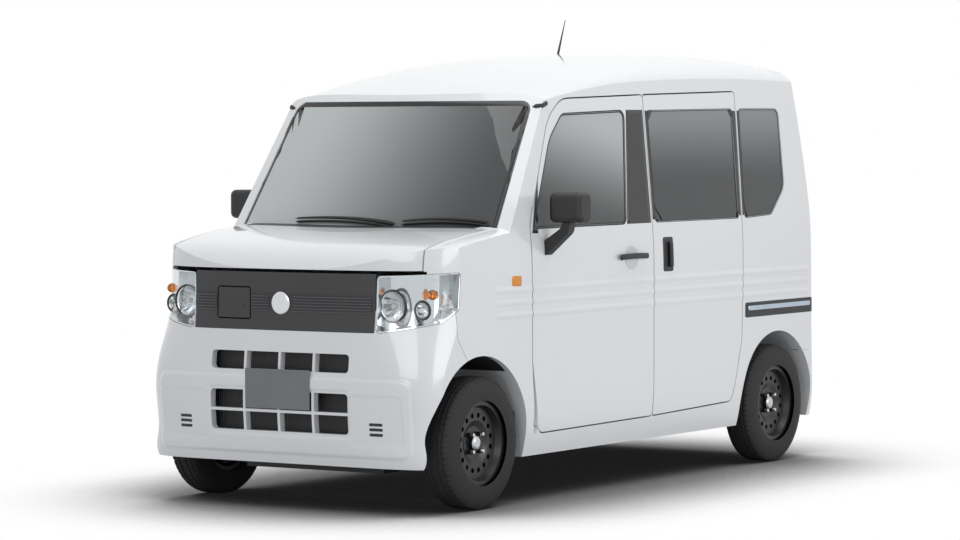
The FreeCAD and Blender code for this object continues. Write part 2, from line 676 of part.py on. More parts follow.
# windscreen: a skin along the screen surface, cut to its outline in the front view
screen_outline = [
    (-dim.screen_bottom_half, dim.screen_bottom_z, dim.screen_corner / 2),
    (dim.screen_bottom_half, dim.screen_bottom_z, dim.screen_corner / 2),
    (dim.screen_top_half, dim.screen_top_z, dim.screen_corner),
    (-dim.screen_top_half, dim.screen_top_z, dim.screen_corner),
]
screen_skin = screen_trim().cut(screen_trim(dim.glass_thickness))
screen_inside = side_section(dim.drip_overlap, -front_reach, front_reach).common(roof_mass(0, dim.drip_overlap))
windscreen = screen_skin.common(screen_inside).common(front_view(grown(screen_outline, -dim.seat_gap), 0, front_x))
frame_skin = screen_trim().cut(screen_trim(dim.glass_thickness + dim.glass_inset + dim.seat_gap))
rest = rest.cut(frame_skin.common(front_view(screen_outline, 0, front_x)))


def screen_band(ahead, low, high):
    """Everything ahead of a line that follows the windscreen's bend in plan, from low to high."""
    radius = dim.screen_radius
    side = half_width + dim.overrun
    foot_x = dim.screen_foot_x + ahead
    side_x = foot_x - radius + math.sqrt(radius ** 2 - side ** 2)
    arc = Part.Arc(Vector(side_x, -side, low), Vector(foot_x, 0, low), Vector(side_x, side, low)).toShape()
    lines = [Part.makeLine(Vector(side_x, side, low), Vector(front_x, side, low)),
             Part.makeLine(Vector(front_x, side, low), Vector(front_x, -side, low)),
             Part.makeLine(Vector(front_x, -side, low), Vector(side_x, -side, low))]
    return Part.Face(Part.Wire([arc] + lines)).extrude(Vector(0, 0, high - low))


# bonnet
hood_high = dim.belt_z + 4 * dim.overrun
hood_plan = [
    (dim.screen_foot_x / 2, -dim.hood_side_y - dim.hood_taper, 0),
    (front_x, -dim.hood_side_y + dim.hood_taper, 0),
    (front_x, dim.hood_side_y - dim.hood_taper, 0),
    (dim.screen_foot_x / 2, dim.hood_side_y + dim.hood_taper, 0),
]


def hood_region(amount):
    low = dim.hood_front_z - amount
    plan = prism(grown(hood_plan, amount), floor_plane(low), Vector(0, 0, hood_high - low))
    return plan.common(screen_band(dim.hood_back - amount, low, hood_high))


hood = rest.common(hood_region(-gap_half))
rest = rest.cut(hood_region(gap_half))

# lamps and grille; the lamp's outline is (share of half the length leftwards, height, corner radius)
LAMP_SHARES = [-0.4878, -0.2851, -0.2916, -0.3376, -0.4928]
lamp_heights = [dim.grille_top_z - 2 * dim.lens_thickness, dim.grille_top_z + dim.lens_thickness, dim.lamp_tip_z,
                dim.lamp_knee_z, dim.grille_bottom_z - dim.lens_thickness]
lamp_corner = 4 * dim.lens_thickness
lamp_outline = [(share * body_half, z, lamp_corner) for share, z in zip(LAMP_SHARES, lamp_heights)]
lamp_tool = diagonal_prism(lamp_outline, 2 * body_half)
lamp_tool = lamp_tool.cut(block(0, front_x, -half_width, dim.grille_half + seam_half, 0, dim.section_top))
lamp_inner = diagonal_prism(grown(lamp_outline, -seam_half), 2 * body_half)
lamp_inner = lamp_inner.cut(block(0, front_x, -half_width, dim.grille_half + dim.seam, 0, dim.section_top))
lamp_zone = block(dim.screen_foot_x, front_x, dim.grille_half, outer_y, dim.upper_slot_top, dim.hood_front_z + dim.seam)
lamp_front = outer.common(lamp_zone).common(lamp_inner)


def lamp_core(depth, side_depth):
    """The lamp's space behind a given depth from the skin."""
    return nose(-depth).common(lamp_zone).common(side_section(side_depth, dim.screen_foot_x, front_x))


behind_lens = lamp_core(dim.lens_thickness, dim.lens_thickness)
lens = lamp_front.cut(behind_lens)
bowl = lamp_front.common(behind_lens).cut(lamp_core(dim.lamp_depth, dim.lamp_depth / 2))
hollow_tool = diagonal_prism(grown(lamp_outline, -2 * dim.seam), 2 * body_half)
hollow_tool = hollow_tool.cut(block(0, front_x, -half_width, dim.grille_half + 3 * dim.seam, 0, dim.section_top))
hollow_tool = hollow_tool.cut(lamp_core(dim.lamp_depth - dim.lens_thickness, dim.lamp_depth / 2 - dim.lens_thickness))
lamp_housing = bowl.cut(hollow_tool)
grille_outline = rectangle(-dim.grille_half, dim.grille_half, dim.grille_bottom_z, dim.grille_top_z, dim.seam)
grille_tool = front_view(grille_outline, dim.screen_foot_x, front_x)
grille_front = outer.common(front_view(grown(grille_outline, -seam_half), dim.screen_foot_x, front_x))
grille = grille_front.cut(nose(-dim.grille_depth))
rib_middle = (dim.grille_top_z + dim.grille_bottom_z) / 2
strips = []
for step in range(int(dim.rib_count)):
    z = rib_middle + (step - (dim.rib_count - 1) / 2) * dim.rib_pitch
    half = dim.rib_height / 2
    strips.append(block(dim.screen_foot_x, front_x, -dim.grille_half + dim.seam * 4, dim.grille_half - dim.seam * 4,
                        z - half, z + half))
ribs = Part.makeCompound(strips).common(nose(dim.rib_proud)).cut(nose(-dim.rib_proud))
grille = grille.fuse(ribs)
rest = rest.cut(both(lamp_tool) + [grille_tool])
strip = block(dim.screen_foot_x, front_x, -dim.hood_side_y, dim.hood_side_y, dim.grille_top_z - dim.seam * 4,
              dim.hood_front_z)
rest = rest.cut(strip)


def skin_x(shape, y, z):
    """Foremost point of a shape on a line along the vehicle."""
    return Part.makeLine(Vector(0, y, z), Vector(front_x, y, z)).common(shape).BoundBox.XMax


# charge lid with its pin in the grille panel, charge port behind it
lid_low = dim.lid_middle_z - dim.lid_height / 2
lid_high = dim.lid_middle_z + dim.lid_height / 2
lid_right = dim.lid_middle_y - dim.lid_width / 2
lid_left = dim.lid_middle_y + dim.lid_width / 2
lid_outline = rectangle(lid_right, lid_left, lid_low, lid_high, dim.lid_corner)
lid_hole = front_view(lid_outline, dim.screen_foot_x, front_x)
charge_lid = outer.common(front_view(grown(lid_outline, -dim.panel_gap), dim.screen_foot_x, front_x))
charge_lid = charge_lid.cut(nose(-dim.lid_thickness))
lid_axis_y = lid_right + dim.panel_gap + dim.lid_thickness / 2
lid_axis_low = Vector(skin_x(nose(), lid_axis_y, lid_low) - dim.lid_thickness / 2, lid_axis_y, lid_low)
lid_axis_high = Vector(skin_x(nose(), lid_axis_y, lid_high) - dim.lid_thickness / 2, lid_axis_y, lid_high)
lid_way = (lid_axis_high - lid_axis_low).normalize()
lid_reach = lid_way * dim.lid_pin_reach
charge_lid = charge_lid.fuse(rod(lid_axis_low - lid_reach, lid_axis_high + lid_reach, dim.lid_pin_radius))
lid_room = lid_way * (dim.lid_pin_reach + dim.seam)
lid_bore = rod(lid_axis_low - lid_room, lid_axis_high + lid_room, dim.lid_pin_radius + dim.running_gap)
grille = grille.cut([lid_hole, lid_bore])
port_front_x = skin_x(nose(-dim.grille_depth), lid_right, lid_high) - dim.seam
charge_port = block(port_front_x - dim.port_depth, port_front_x, lid_right - dim.bay_wall, lid_left + dim.bay_wall,
                    lid_low - dim.bay_wall, lid_high + dim.bay_wall)
port_rim = front_view(grown(lid_outline, dim.bay_wall), port_front_x - dim.seam, front_x).cut(lid_hole)
charge_port = charge_port.fuse(port_rim.common(nose(-dim.grille_depth - dim.seat_gap)))
for step in (-1, 1):
    socket_start = Vector(port_front_x - dim.port_depth / 2, dim.lid_middle_y + step * dim.lid_width / 4, dim.lid_middle_z)
    charge_port = charge_port.cut(Part.makeCylinder(dim.socket_radius, dim.port_depth, socket_start, Vector(1, 0, 0)))

# front bumper
bumper_side = [
    (front_x, open_low, 0),
    (front_x, dim.lamp_tip_z + dim.seam, 0),
    (dim.bumper_seam_x, dim.lamp_tip_z + dim.seam, 0),
    (dim.bumper_seam_x - 2 * dim.seam, dim.bumper_seam_z, 0),
    (dim.bumper_arch_x, dim.upper_slot_bottom, 0),
    (dim.bumper_arch_x, open_low, 0),
]


def bumper_region(amount):
    return side_prism(grown(bumper_side, amount), -outer_y, outer_y)


def slot(bottom, top):
    """Bumper opening with upright bars left standing in it."""
    hole = front_view(rectangle(-dim.slot_half, dim.slot_half, bottom, top, dim.slot_corner), dim.screen_foot_x, front_x)
    bars = []
    for step in (-1, 0, 1):
        y = step * dim.slot_half / 2
        bars.append(block(dim.screen_foot_x, front_x, y - dim.slot_bar / 2, y + dim.slot_bar / 2, bottom - dim.seam,
                          top + dim.seam))
    return hole.cut(bars)


front_bumper = rest.common(bumper_region(-seam_half)).cut([slot(dim.upper_slot_bottom, dim.upper_slot_top),
                                                           slot(dim.lower_slot_bottom, dim.lower_slot_top)])
middle_bar_z = (dim.lower_slot_bottom + dim.lower_slot_top) / 2
cross_bar = block(dim.screen_foot_x, front_x, -dim.slot_half - dim.seam, dim.slot_half + dim.seam,
                  middle_bar_z - dim.slot_bar / 2, middle_bar_z + dim.slot_bar / 2)
front_bumper = front_bumper.fuse(cross_bar.common(rest))
tab_depth = nose(-2 * dim.panel_gap).cut(nose(-dim.bay_wall))
grille_tab = block(dim.screen_foot_x, front_x, dim.slot_half - dim.bay_wall, dim.slot_half,
                   dim.grille_bottom_z - dim.panel_gap, dim.grille_bottom_z + seam_half - dim.seat_gap)
lamp_edge = diagonal_prism(lamp_outline, 2 * body_half).cut(
    diagonal_prism(grown(lamp_outline, -seam_half + dim.seat_gap), 2 * body_half))
lamp_tab = lamp_edge.common(block(dim.screen_foot_x, front_x, dim.grille_half + dim.overrun,
                                  dim.grille_half + 2 * dim.overrun, dim.upper_slot_top, dim.lamp_knee_z))
tabs = [piece.common(tab_depth) for piece in both(grille_tab) + both(lamp_tab)]
front_bumper = front_bumper.fuse(tabs)
rest = rest.cut(bumper_region(seam_half))
plate_low = dim.front_plate_z - dim.plate_height / 2

# tail: tailgate, bumper, lamps
tail_x = -body_half - dim.overrun
gate_outline = [
    (-dim.gate_half, dim.gate_bottom_z, glass_corner),
    (dim.gate_half, dim.gate_bottom_z, glass_corner),
    (dim.gate_half - 2 * glass_corner / 3, dim.section_top, 0),
    (-dim.gate_half + 2 * glass_corner / 3, dim.section_top, 0),
]
rear_outline = rectangle(-dim.gate_glass_half, dim.gate_glass_half, dim.gate_glass_bottom, dim.gate_glass_top,
                         2 * glass_corner)
gate_front_x = dim.gate_seam_x
gate_tool = front_view(grown(gate_outline, gap_half), tail_x, gate_front_x + gap_half)
rear_hole = front_view(rear_outline, tail_x, gate_front_x)
tailgate = rest.common(front_view(grown(gate_outline, -gap_half), tail_x, gate_front_x - gap_half)).cut(rear_hole)
tail_skin = tail(-dim.glass_inset).cut(tail(-dim.glass_inset - dim.glass_thickness))
tailgate_glass = tail_skin.common(front_view(grown(rear_outline, -dim.seat_gap), tail_x, gate_front_x))
rest = rest.cut(gate_tool)
lamp_box = block(tail_x, -body_half + 2 * dim.tail_lamp_depth, dim.gate_half + 2 * dim.seam, outer_y,
                 dim.tail_lamp_bottom, dim.tail_lamp_top)
solid_tail = outer.common(block(tail_x, -body_half / 2, 0, outer_y, 0, dim.section_top))
tail_lamp = solid_tail.common(lamp_box).cut(
    side_section(dim.tail_lamp_depth, -front_reach, front_reach).common(tail(-dim.tail_lamp_depth)))
rest = rest.cut(both(lamp_box))
bumper_box = block(tail_x, rear_axle_x - dim.rear_arch_radius / 2, -outer_y, outer_y, 0,
                   dim.gate_bottom_z - dim.panel_gap)
rear_bumper = rest.common(bumper_box)
rest = rest.cut([bumper_box, bumper_box.translated(Vector(0, 0, gap_half))])

# roof panel above the drip line, bulkhead, wings, side frames
roof_side = [(x_share * body_half, drip_share * dim.roof_height + dim.drip_overlap, 0)
             for x_share, drip_share, crown_share in ROOF_SHARES[SCREEN_STATIONS:]]
roof_side += [(tail_x, roof_side[-1][1], 0), (tail_x, dim.section_top, 0), (front_x, dim.section_top, 0),
              (front_x, roof_side[0][1], 0)]
roof_tool = side_prism(roof_side, -outer_y, outer_y)
roof_panel = rest.common(roof_tool)
rest = rest.cut(roof_tool)
cowl_half = dim.hood_side_y + dim.hood_taper
bulkhead_box = block(dim.bulkhead_x - dim.seam, bay_rear_x + dim.seam, -dim.hood_side_y, dim.hood_side_y, 0,
                     dim.screen_foot_z + dim.seam)
cowl_box = block(bay_rear_x + dim.seam, front_x, -cowl_half, cowl_half, dim.belt_z - 2 * dim.overrun,
                 dim.screen_foot_z + dim.overrun)
under_floor = block(0, front_x, -outer_y, outer_y, 0, dim.floor_z - dim.floor_thickness)
bulkhead = rest.common(bulkhead_box).cut(under_floor)
rest = rest.cut(bulkhead_box)
cowl = rest.common(cowl_box)
rest = rest.cut(cowl_box)
wing_side = [
    (dim.door_front_x - dim.panel_gap, 0, 0),
    (front_x, 0, 0),
    (front_x, dim.wing_top_z + dim.overrun, 0),
    (dim.bulkhead_x, dim.wing_top_z + dim.overrun, 0),
    (dim.door_front_x - dim.panel_gap, dim.wing_top_z, 0),
]
wing = rest.common(side_prism(wing_side, 0, outer_y))
side_frame = rest.cut(side_prism(wing_side, -outer_y, outer_y))
side_frame = side_frame.common(block(tail_x, front_x, 0, outer_y, 0, dim.section_top))
wing = without_slivers(wing)
side_frame = without_slivers(side_frame)
bulkhead = without_slivers(bulkhead)

# door hinges: arms on the wings carry pins that stand in bores of the doors
hinge_x = dim.door_front_x - dim.hinge_back
hinge_y = half_width - dim.hinge_in
half_arm = dim.hinge_arm / 2
swing_low = dim.door_bottom_z - dim.panel_gap
swing_radius = math.hypot(dim.hinge_back - gap_half, dim.hinge_in) + dim.clearance
near_radius = dim.hinge_in + dim.clearance
swing_side = [
    (0, swing_low, 0),
    (2 * dim.clearance, swing_low, 0),
    (near_radius, dim.swing_near_z, 0),
    (swing_radius, 2 * dim.door_bottom_z, 0),
    (swing_radius, dim.belt_z + corner, 0),
    (dim.clearance, dim.wing_top_z + corner, 0),
    (0, dim.wing_top_z + corner, 0),
]
swing_room = turned(swing_side, Vector(hinge_x, hinge_y, 0), Vector(0, 0, 1))
wing = wing.cut(swing_room)
side_frame = side_frame.cut(swing_room)
foot_x = hinge_x + dim.hinge_back + dim.panel_gap
arm_plan = [
    (hinge_x - half_arm, hinge_y, 0),
    (hinge_x + half_arm, hinge_y - dim.door_wall - half_arm, 0),
    (foot_x + 3 * half_arm, hinge_y - dim.door_wall - half_arm, 0),
    (foot_x + 3 * half_arm, half_width - dim.door_wall + dim.seam, 0),
    (foot_x, half_width - dim.door_wall + dim.seam, 0),
    (foot_x, hinge_y - dim.door_wall + half_arm, 0),
    (hinge_x + 3 * half_arm, hinge_y - dim.door_wall + half_arm, 0),
    (hinge_x + half_arm, hinge_y, 0),
]
for z in (dim.hinge_low_z, dim.hinge_high_z):
    eye_low = Vector(hinge_x, hinge_y, z - half_arm)
    up = Vector(0, 0, 1)
    arm = prism(arm_plan, floor_plane(z - half_arm), up * dim.hinge_arm)
    arm = arm.fuse(Part.makeCylinder(dim.knuckle_radius, dim.hinge_arm, eye_low))
    pin_end = up * (half_arm + dim.clearance + dim.hinge_reach)
    middle = Vector(hinge_x, hinge_y, z)
    wing = wing.fuse([arm, rod(middle - pin_end, middle + pin_end, dim.pin_radius)])
    bore_end = pin_end + up * dim.seam
    bore = rod(middle - bore_end, middle + bore_end, dim.pin_radius + dim.running_gap)
    notch = block(hinge_x - dim.knuckle_radius - dim.seam, front_x, inner_y, half_width - dim.door_skin,
                  z - half_arm - dim.clearance, z + half_arm + dim.clearance)
    door_panel = door_panel.cut([notch, bore])
lean_back = (dim.door_mid_x - dim.door_mid_top_x) / (dim.door_top_z - dim.belt_z)
trim_rise = dim.section_top - dim.belt_z
trim_radius = hinge_x - dim.door_mid_x + gap_half - dim.clearance
trim_cone = Part.makeCone(trim_radius, trim_radius + lean_back * trim_rise, trim_rise, Vector(hinge_x, hinge_y, dim.belt_z))
trim = block(dim.door_rear_x, dim.door_mid_x + dim.overrun, inner_y, outer_y, dim.belt_z, dim.section_top).cut(trim_cone)
door_panel = door_panel.cut(trim)

# roller feet of the sliding doors, on the sills
roller_high = dim.door_bottom_z + 6 * dim.panel_gap
roller_y = half_width - dim.door_wall - dim.rocker_tuck / 3 - dim.seam
roller_leg = block(dim.kick_x, dim.kick_x + dim.tail_wall, dim.floor_half + dim.seam, roller_y,
                   swing_low + dim.seat_gap, roller_high)
roller_bracket = block(dim.kick_x, dim.kick_x + dim.tail_wall, dim.floor_half + dim.seam, half_width - dim.rocker_tuck,
                       roller_high - 2 * dim.panel_gap, roller_high)
slide_panel = slide_panel.fuse([roller_leg, roller_bracket])


def lid_hinge(x, z, y, carrier, moving, bar_x, bar_high):
    """Pin on the carrier, in a pocket across the skin; arm with its bore on the moving piece."""
    eye = Part.makeCylinder(dim.knuckle_radius, dim.hinge_arm, Vector(x, y - half_arm, z), Vector(0, 1, 0))
    bar = block(min(x, bar_x), max(x, bar_x), y - half_arm, y + half_arm, z - dim.knuckle_radius, z + bar_high)
    room = half_arm + dim.clearance
    pin_start = Vector(x, y - room - dim.knuckle_radius, z)
    pin_length = 2 * (room + dim.knuckle_radius)
    pin = Part.makeCylinder(dim.pin_radius, pin_length, pin_start, Vector(0, 1, 0))
    bore = Part.makeCylinder(dim.pin_radius + dim.running_gap, pin_length, pin_start, Vector(0, 1, 0))
    away = math.copysign(dim.knuckle_radius + dim.clearance, x - bar_x)
    pocket = block(min(x + away, bar_x), max(x + away, bar_x), y - room, y + room, z - dim.tail_wall, z + dim.tail_wall)
    return carrier.cut(pocket).fuse(pin), moving.fuse([eye, bar]).cut(bore)


for side in SIDES.values():
    hood_bar_x = dim.hood_axis_x + dim.overrun
    cowl, hood = lid_hinge(dim.hood_axis_x, dim.hood_axis_z, side * dim.hood_arm_y, cowl, hood, hood_bar_x,
                           dim.pin_radius)
roof_line = Part.makeLine(Vector(dim.gate_axis_x, dim.gate_arm_y, 0), Vector(dim.gate_axis_x, dim.gate_arm_y,
                                                                           dim.section_top))
gate_axis_z = roof_line.common(roof_mass()).BoundBox.ZMax - dim.gate_axis_depth
for side in SIDES.values():
    gate_bar_x = dim.gate_seam_x - 3 * dim.panel_gap
    roof_panel, tailgate = lid_hinge(dim.gate_axis_x, gate_axis_z, side * dim.gate_arm_y, roof_panel, tailgate,
                                     gate_bar_x, 0)

# door mirrors
mirror_half = dim.mirror_depth / 2
mirror_head = block(dim.mirror_x - mirror_half, dim.mirror_x + mirror_half, dim.mirror_inner_y, dim.mirror_outer_y,
                    dim.mirror_low_z, dim.mirror_high_z)
mirror_head = mirror_head.makeFillet(dim.mirror_round, mirror_head.Edges)
mirror_middle_y = (dim.mirror_inner_y + dim.mirror_outer_y) / 2
mirror_arm = front_view([
    (half_width - 2 * dim.panel_gap, dim.mirror_foot_low_z, 0),
    (half_width + dim.panel_gap, dim.mirror_foot_low_z, dim.panel_gap),
    (mirror_middle_y + dim.panel_gap, dim.mirror_low_z - dim.overrun, dim.overrun),
    (mirror_middle_y + 2 * dim.panel_gap, dim.mirror_low_z + dim.overrun, 0),
    (mirror_middle_y - 4 * dim.panel_gap, dim.mirror_low_z + dim.overrun, 0),
    (mirror_middle_y - 5 * dim.panel_gap, dim.mirror_low_z - dim.overrun / 2, dim.overrun),
    (half_width - 2 * dim.panel_gap, dim.mirror_foot_high_z, 0),
], dim.mirror_x - dim.mirror_arm_width / 2, dim.mirror_x + dim.mirror_arm_width / 2)
mirror = mirror_head.fuse(mirror_arm).cut(outer)


def keep_pair(name, shape):
    """Left and right pieces that stay on the body, as solids of one sub-part."""
    keep(name, Part.makeCompound([solid for piece in both(shape) for solid in piece.Solids]))


for prefix, shape in {"door_": door_panel, "door_glass_": glass_pane(door_glass), "mirror_": mirror}.items():
    for name, side in SIDES.items():
        keep(prefix + name, on_side(shape, side))
keep_pair("sliding_doors", slide_panel)
keep_pair("wings", wing)
keep_pair("side_frames", side_frame)
keep_pair("headlamps", lamp_housing)
keep_pair("headlamp_lenses", lens)
keep_pair("tail_lamps", tail_lamp)
keep_pair("side_glass", Part.makeCompound([glass_pane(slide_glass), glass_pane(quarter_glass)]))
keep("windscreen", windscreen)
keep("hood", hood)
keep("grille_panel", grille)
keep("charge_lid", charge_lid)
keep("charge_port", charge_port)
keep("front_bumper", front_bumper)
keep("tailgate", tailgate)
keep("tailgate_glass", tailgate_glass)
keep("rear_bumper", rear_bumper)
keep("roof_panel", roof_panel)
keep("bulkhead", bulkhead)
keep("cowl", cowl)

# number plates on their brackets
plate_bracket = dim.plate_height / 3
front_plate = block(dim.front_plate_x - dim.plate_thickness, dim.front_plate_x, -dim.plate_width / 2,
                    dim.plate_width / 2, plate_low, plate_low + dim.plate_height)
front_foot = block(body_half - dim.overrun, dim.front_plate_x - dim.plate_thickness, -plate_bracket,
                   plate_bracket, dim.lower_slot_top + dim.seam, dim.upper_slot_bottom - dim.seam).cut(nose())
rear_plate_x = -dim.front_plate_x
rear_plate = block(rear_plate_x, rear_plate_x + dim.plate_thickness, -dim.plate_width / 2, dim.plate_width / 2,
                   dim.gate_bottom_z + dim.plate_height / 2, dim.gate_bottom_z + 1.5 * dim.plate_height)
rear_foot_z = dim.gate_bottom_z + dim.plate_height
rear_foot = block(rear_plate_x + dim.plate_thickness, -body_half + dim.tail_wall / 2, -plate_bracket, plate_bracket,
                  rear_foot_z - plate_bracket / 2, rear_foot_z + plate_bracket / 2).cut(tail())
keep("front_plate", front_plate.fuse(front_foot))
keep("rear_plate", rear_plate.fuse(rear_foot))


# wheels
def ring_tool(centre, axis, outer_radius, low, high):
    return Part.makeCylinder(outer_radius, high - low, centre + axis * low, axis)


half_tread = dim.tyre_tread_width / 2
half_tyre = dim.tyre_width / 2
half_rim = dim.rim_width / 2
bead_half = half_rim - dim.rim_sheet
tyre_half_profile = [
    (dim.rim_radius, bead_half, 0),
    (dim.rim_flange + dim.rim_sheet, bead_half, 0),
    (dim.tyre_widest_radius, half_tyre, 0),
    (dim.tyre_radius - dim.tyre_shoulder, half_tread + dim.tyre_shoulder / 2, 0),
    (dim.tyre_radius, half_tread - dim.tyre_shoulder / 2, 0),
]
tyre_profile = tyre_half_profile + [(radius, -along, 0) for radius, along, corner in reversed(tyre_half_profile)]
well = dim.rim_radius - 2 * dim.rim_sheet
disc_along = half_rim - dim.disc_depth
hub_radius = dim.nut_ring + 2 * dim.nut_radius
rim_profile = [
    (dim.rim_radius, -bead_half, 0), (dim.rim_flange, -bead_half, 0), (dim.rim_flange, -half_rim, 0),
    (dim.rim_radius - dim.rim_sheet, -half_rim, 0),
    (well - dim.rim_sheet, -half_rim + 4 * dim.rim_sheet, 0), (well - dim.rim_sheet, disc_along - dim.rim_sheet, 0),
    (hub_radius + 4 * dim.rim_sheet, disc_along - dim.rim_sheet, 0), (hub_radius, disc_along - 3 * dim.rim_sheet, 0),
    (dim.hub_bore, disc_along - 3 * dim.rim_sheet, 0), (dim.hub_bore, disc_along - 2 * dim.rim_sheet, 0),
    (hub_radius, disc_along - 2 * dim.rim_sheet, 0), (hub_radius + 4 * dim.rim_sheet, disc_along, 0),
    (well - dim.rim_sheet, disc_along, 0), (dim.rim_radius - dim.rim_sheet, half_rim, 0),
    (dim.rim_flange, half_rim, 0), (dim.rim_flange, bead_half, 0), (dim.rim_radius, bead_half, 0),
]
hand_holes = 16
nut_count = 4
wheel_middles = {
    "front_left": Vector(dim.front_axle_x, dim.wheel_track / 2, axle_z),
    "front_right": Vector(dim.front_axle_x, -dim.wheel_track / 2, axle_z),
    "rear_left": Vector(rear_axle_x, dim.wheel_track / 2, axle_z),
    "rear_right": Vector(rear_axle_x, -dim.wheel_track / 2, axle_z),
}
for name, middle in wheel_middles.items():
    axis = Vector(0, math.copysign(1, middle.y), 0)
    keep("tyre_" + name, turned(tyre_profile, middle, axis))
    rim = turned(rim_profile, middle, axis)
    holes = []
    for step in range(hand_holes):
        turn = Rotation(axis, 360 * (step + 0.5) / hand_holes)
        place = middle + turn.multVec(Vector(0, 0, dim.hand_hole_ring))
        holes.append(ring_tool(place, axis, dim.hand_hole_radius, -half_rim, half_rim))
    rim = rim.cut(holes)
    nuts = []
    seat = disc_along - 2 * dim.rim_sheet
    for step in range(nut_count):
        turn = Rotation(axis, 360 * (step + 0.5) / nut_count)
        place = middle + turn.multVec(Vector(0, 0, dim.nut_ring))
        nuts.append(ring_tool(place, axis, dim.nut_radius, seat - dim.rim_sheet / 2, seat + dim.nut_height))
    cap = ring_tool(middle, axis, dim.hub_cap_radius, seat - dim.rim_sheet / 6, seat + dim.nut_height)
    keep("rim_" + name, rim.fuse(nuts + [cap]))

# front knuckles with struts, on the steering axis
steer_low = Vector(dim.front_axle_x, dim.ball_joint_y, dim.ball_joint_z)
steer_high = Vector(dim.front_axle_x, dim.strut_top_y, dim.strut_top_z)
steer_axis = (steer_high - steer_low).normalize()


def on_steer(z):
    """Point of the steering axis at a height."""
    return steer_low + steer_axis * ((z - steer_low.z) / steer_axis.z)


hub_face = dim.wheel_track / 2 + disc_along - 3 * dim.rim_sheet
spindle_radius = dim.hub_bore - dim.running_gap
front_middle = wheel_middles["front_left"]
out = Vector(0, 1, 0)
spindle = Part.makeCylinder(spindle_radius, hub_face - dim.ball_joint_y + 2 * dim.rim_sheet / 3,
                            Vector(front_middle.x, dim.ball_joint_y, axle_z), out)
brake_disc = Part.makeCylinder(dim.brake_radius, 2 * dim.rim_sheet,
                               Vector(front_middle.x, dim.ball_joint_y + 2 * dim.rim_sheet, axle_z), out)
upright = rod(on_steer(dim.ball_joint_z - dim.knuckle_radius), on_steer(2 * dim.ball_joint_z), dim.strut_radius)
ball_bore = rod(on_steer(dim.ball_joint_z - 3 * dim.knuckle_radius), on_steer(dim.ball_joint_z + 2 * dim.knuckle_radius),
                dim.knuckle_radius + dim.running_gap)
hub_barrel = Part.makeCylinder(dim.hub_bore + 2 * dim.rim_sheet, dim.spindle_length,
                               Vector(front_middle.x, dim.ball_joint_y - dim.spindle_length / 2, axle_z), out)
knuckle = spindle.fuse([brake_disc, upright, hub_barrel]).cut(ball_bore)
spring_low = dim.spring_bottom_z
spring_high = dim.strut_top_z - 2 * dim.knuckle_radius
strut = rod(on_steer(2 * dim.ball_joint_z), on_steer(spring_low + dim.knuckle_radius), dim.strut_radius)
ring_count = 5
pitch = (on_steer(spring_high) - on_steer(spring_low)).Length / ring_count
spring_profile = [(0, 0, 0)]
for step in range(ring_count):
    along = step * pitch
    spring_profile += [
        (dim.boot_radius, along, 0), (dim.boot_radius, along + pitch / 8, 0),
        (dim.spring_radius, along + pitch / 4, dim.knuckle_radius / 2),
        (dim.spring_radius, along + 3 * pitch / 4, dim.knuckle_radius / 2), (dim.boot_radius, along + 7 * pitch / 8, 0),
    ]
spring_profile += [(dim.boot_radius, ring_count * pitch, 0), (0, ring_count * pitch, 0)]
spring = turned(spring_profile, on_steer(spring_low), steer_axis)
strut_rod = rod(on_steer(spring_high - dim.knuckle_radius), on_steer(dim.strut_top_z + dim.knuckle_radius),
                dim.knuckle_radius)
strut = strut.fuse([spring, strut_rod])

# front frame: rails, strut towers, cross member, arms
rail_low = dim.floor_z - dim.floor_thickness - dim.rail_height
rail_high = rail_low + dim.rail_height
rail_inner = dim.rail_half - dim.rail_width / 2
front_rail = block(dim.kick_x, dim.front_rail_end_x, rail_inner - dim.rail_width / 2, rail_inner, rail_low,
                   rail_high)
tower_top = block(dim.front_axle_x - 2 * dim.spring_radius, dim.front_axle_x + 2 * dim.spring_radius,
                  rail_inner - dim.rail_width / 2, dim.strut_top_y + 1.4 * dim.spring_radius, dim.strut_top_z,
                  dim.strut_top_z + 2 * dim.liner_thickness)
tower_wall = block(dim.front_axle_x - 2 * dim.spring_radius, dim.front_axle_x + 2 * dim.spring_radius,
                   rail_inner - dim.rail_width / 2, rail_inner, rail_low, dim.strut_top_z + 2 * dim.liner_thickness)
bearing_hole = rod(on_steer(dim.strut_top_z - dim.knuckle_radius), on_steer(dim.strut_top_z + 3 * dim.knuckle_radius),
                   dim.knuckle_radius + dim.running_gap)
cross_low = dim.drive_bottom_z - dim.rail_width
arm_thickness = 2 * dim.knuckle_radius
arm_low = dim.ball_joint_z - arm_thickness - dim.knuckle_radius * 2
arm_outline = [
    (dim.front_axle_x - 3 * dim.spring_radius, rail_inner - dim.rail_width, 0),
    (dim.front_axle_x + 2 * dim.spring_radius, rail_inner - dim.rail_width, 0),
    (dim.front_axle_x + dim.spring_radius / 2, dim.ball_joint_y + dim.strut_radius, dim.strut_radius / 2),
    (dim.front_axle_x - dim.spring_radius / 2, dim.ball_joint_y + dim.strut_radius, dim.strut_radius / 2),
]
arm = prism(arm_outline, floor_plane(arm_low), Vector(0, 0, arm_thickness))
ball_pin = rod(on_steer(arm_low + arm_thickness / 2), on_steer(dim.ball_joint_z + 2 * dim.knuckle_radius - dim.seam),
               dim.knuckle_radius)
cross_member = block(bay_rear_x + 2 * dim.rail_width, dim.front_axle_x + 4 * dim.spring_radius, -rail_inner, rail_inner,
                     arm_low, dim.drive_bottom_z)
cross_post = block(bay_rear_x + 2 * dim.rail_width, dim.front_axle_x + 4 * dim.spring_radius,
                   rail_inner - dim.rail_width / 2, rail_inner, arm_low, rail_low)
front_frame = cross_member.fuse(both(front_rail) + both(tower_top) + both(tower_wall) + both(cross_post) + both(arm)
                                + both(ball_pin)).cut(both(bearing_hole))
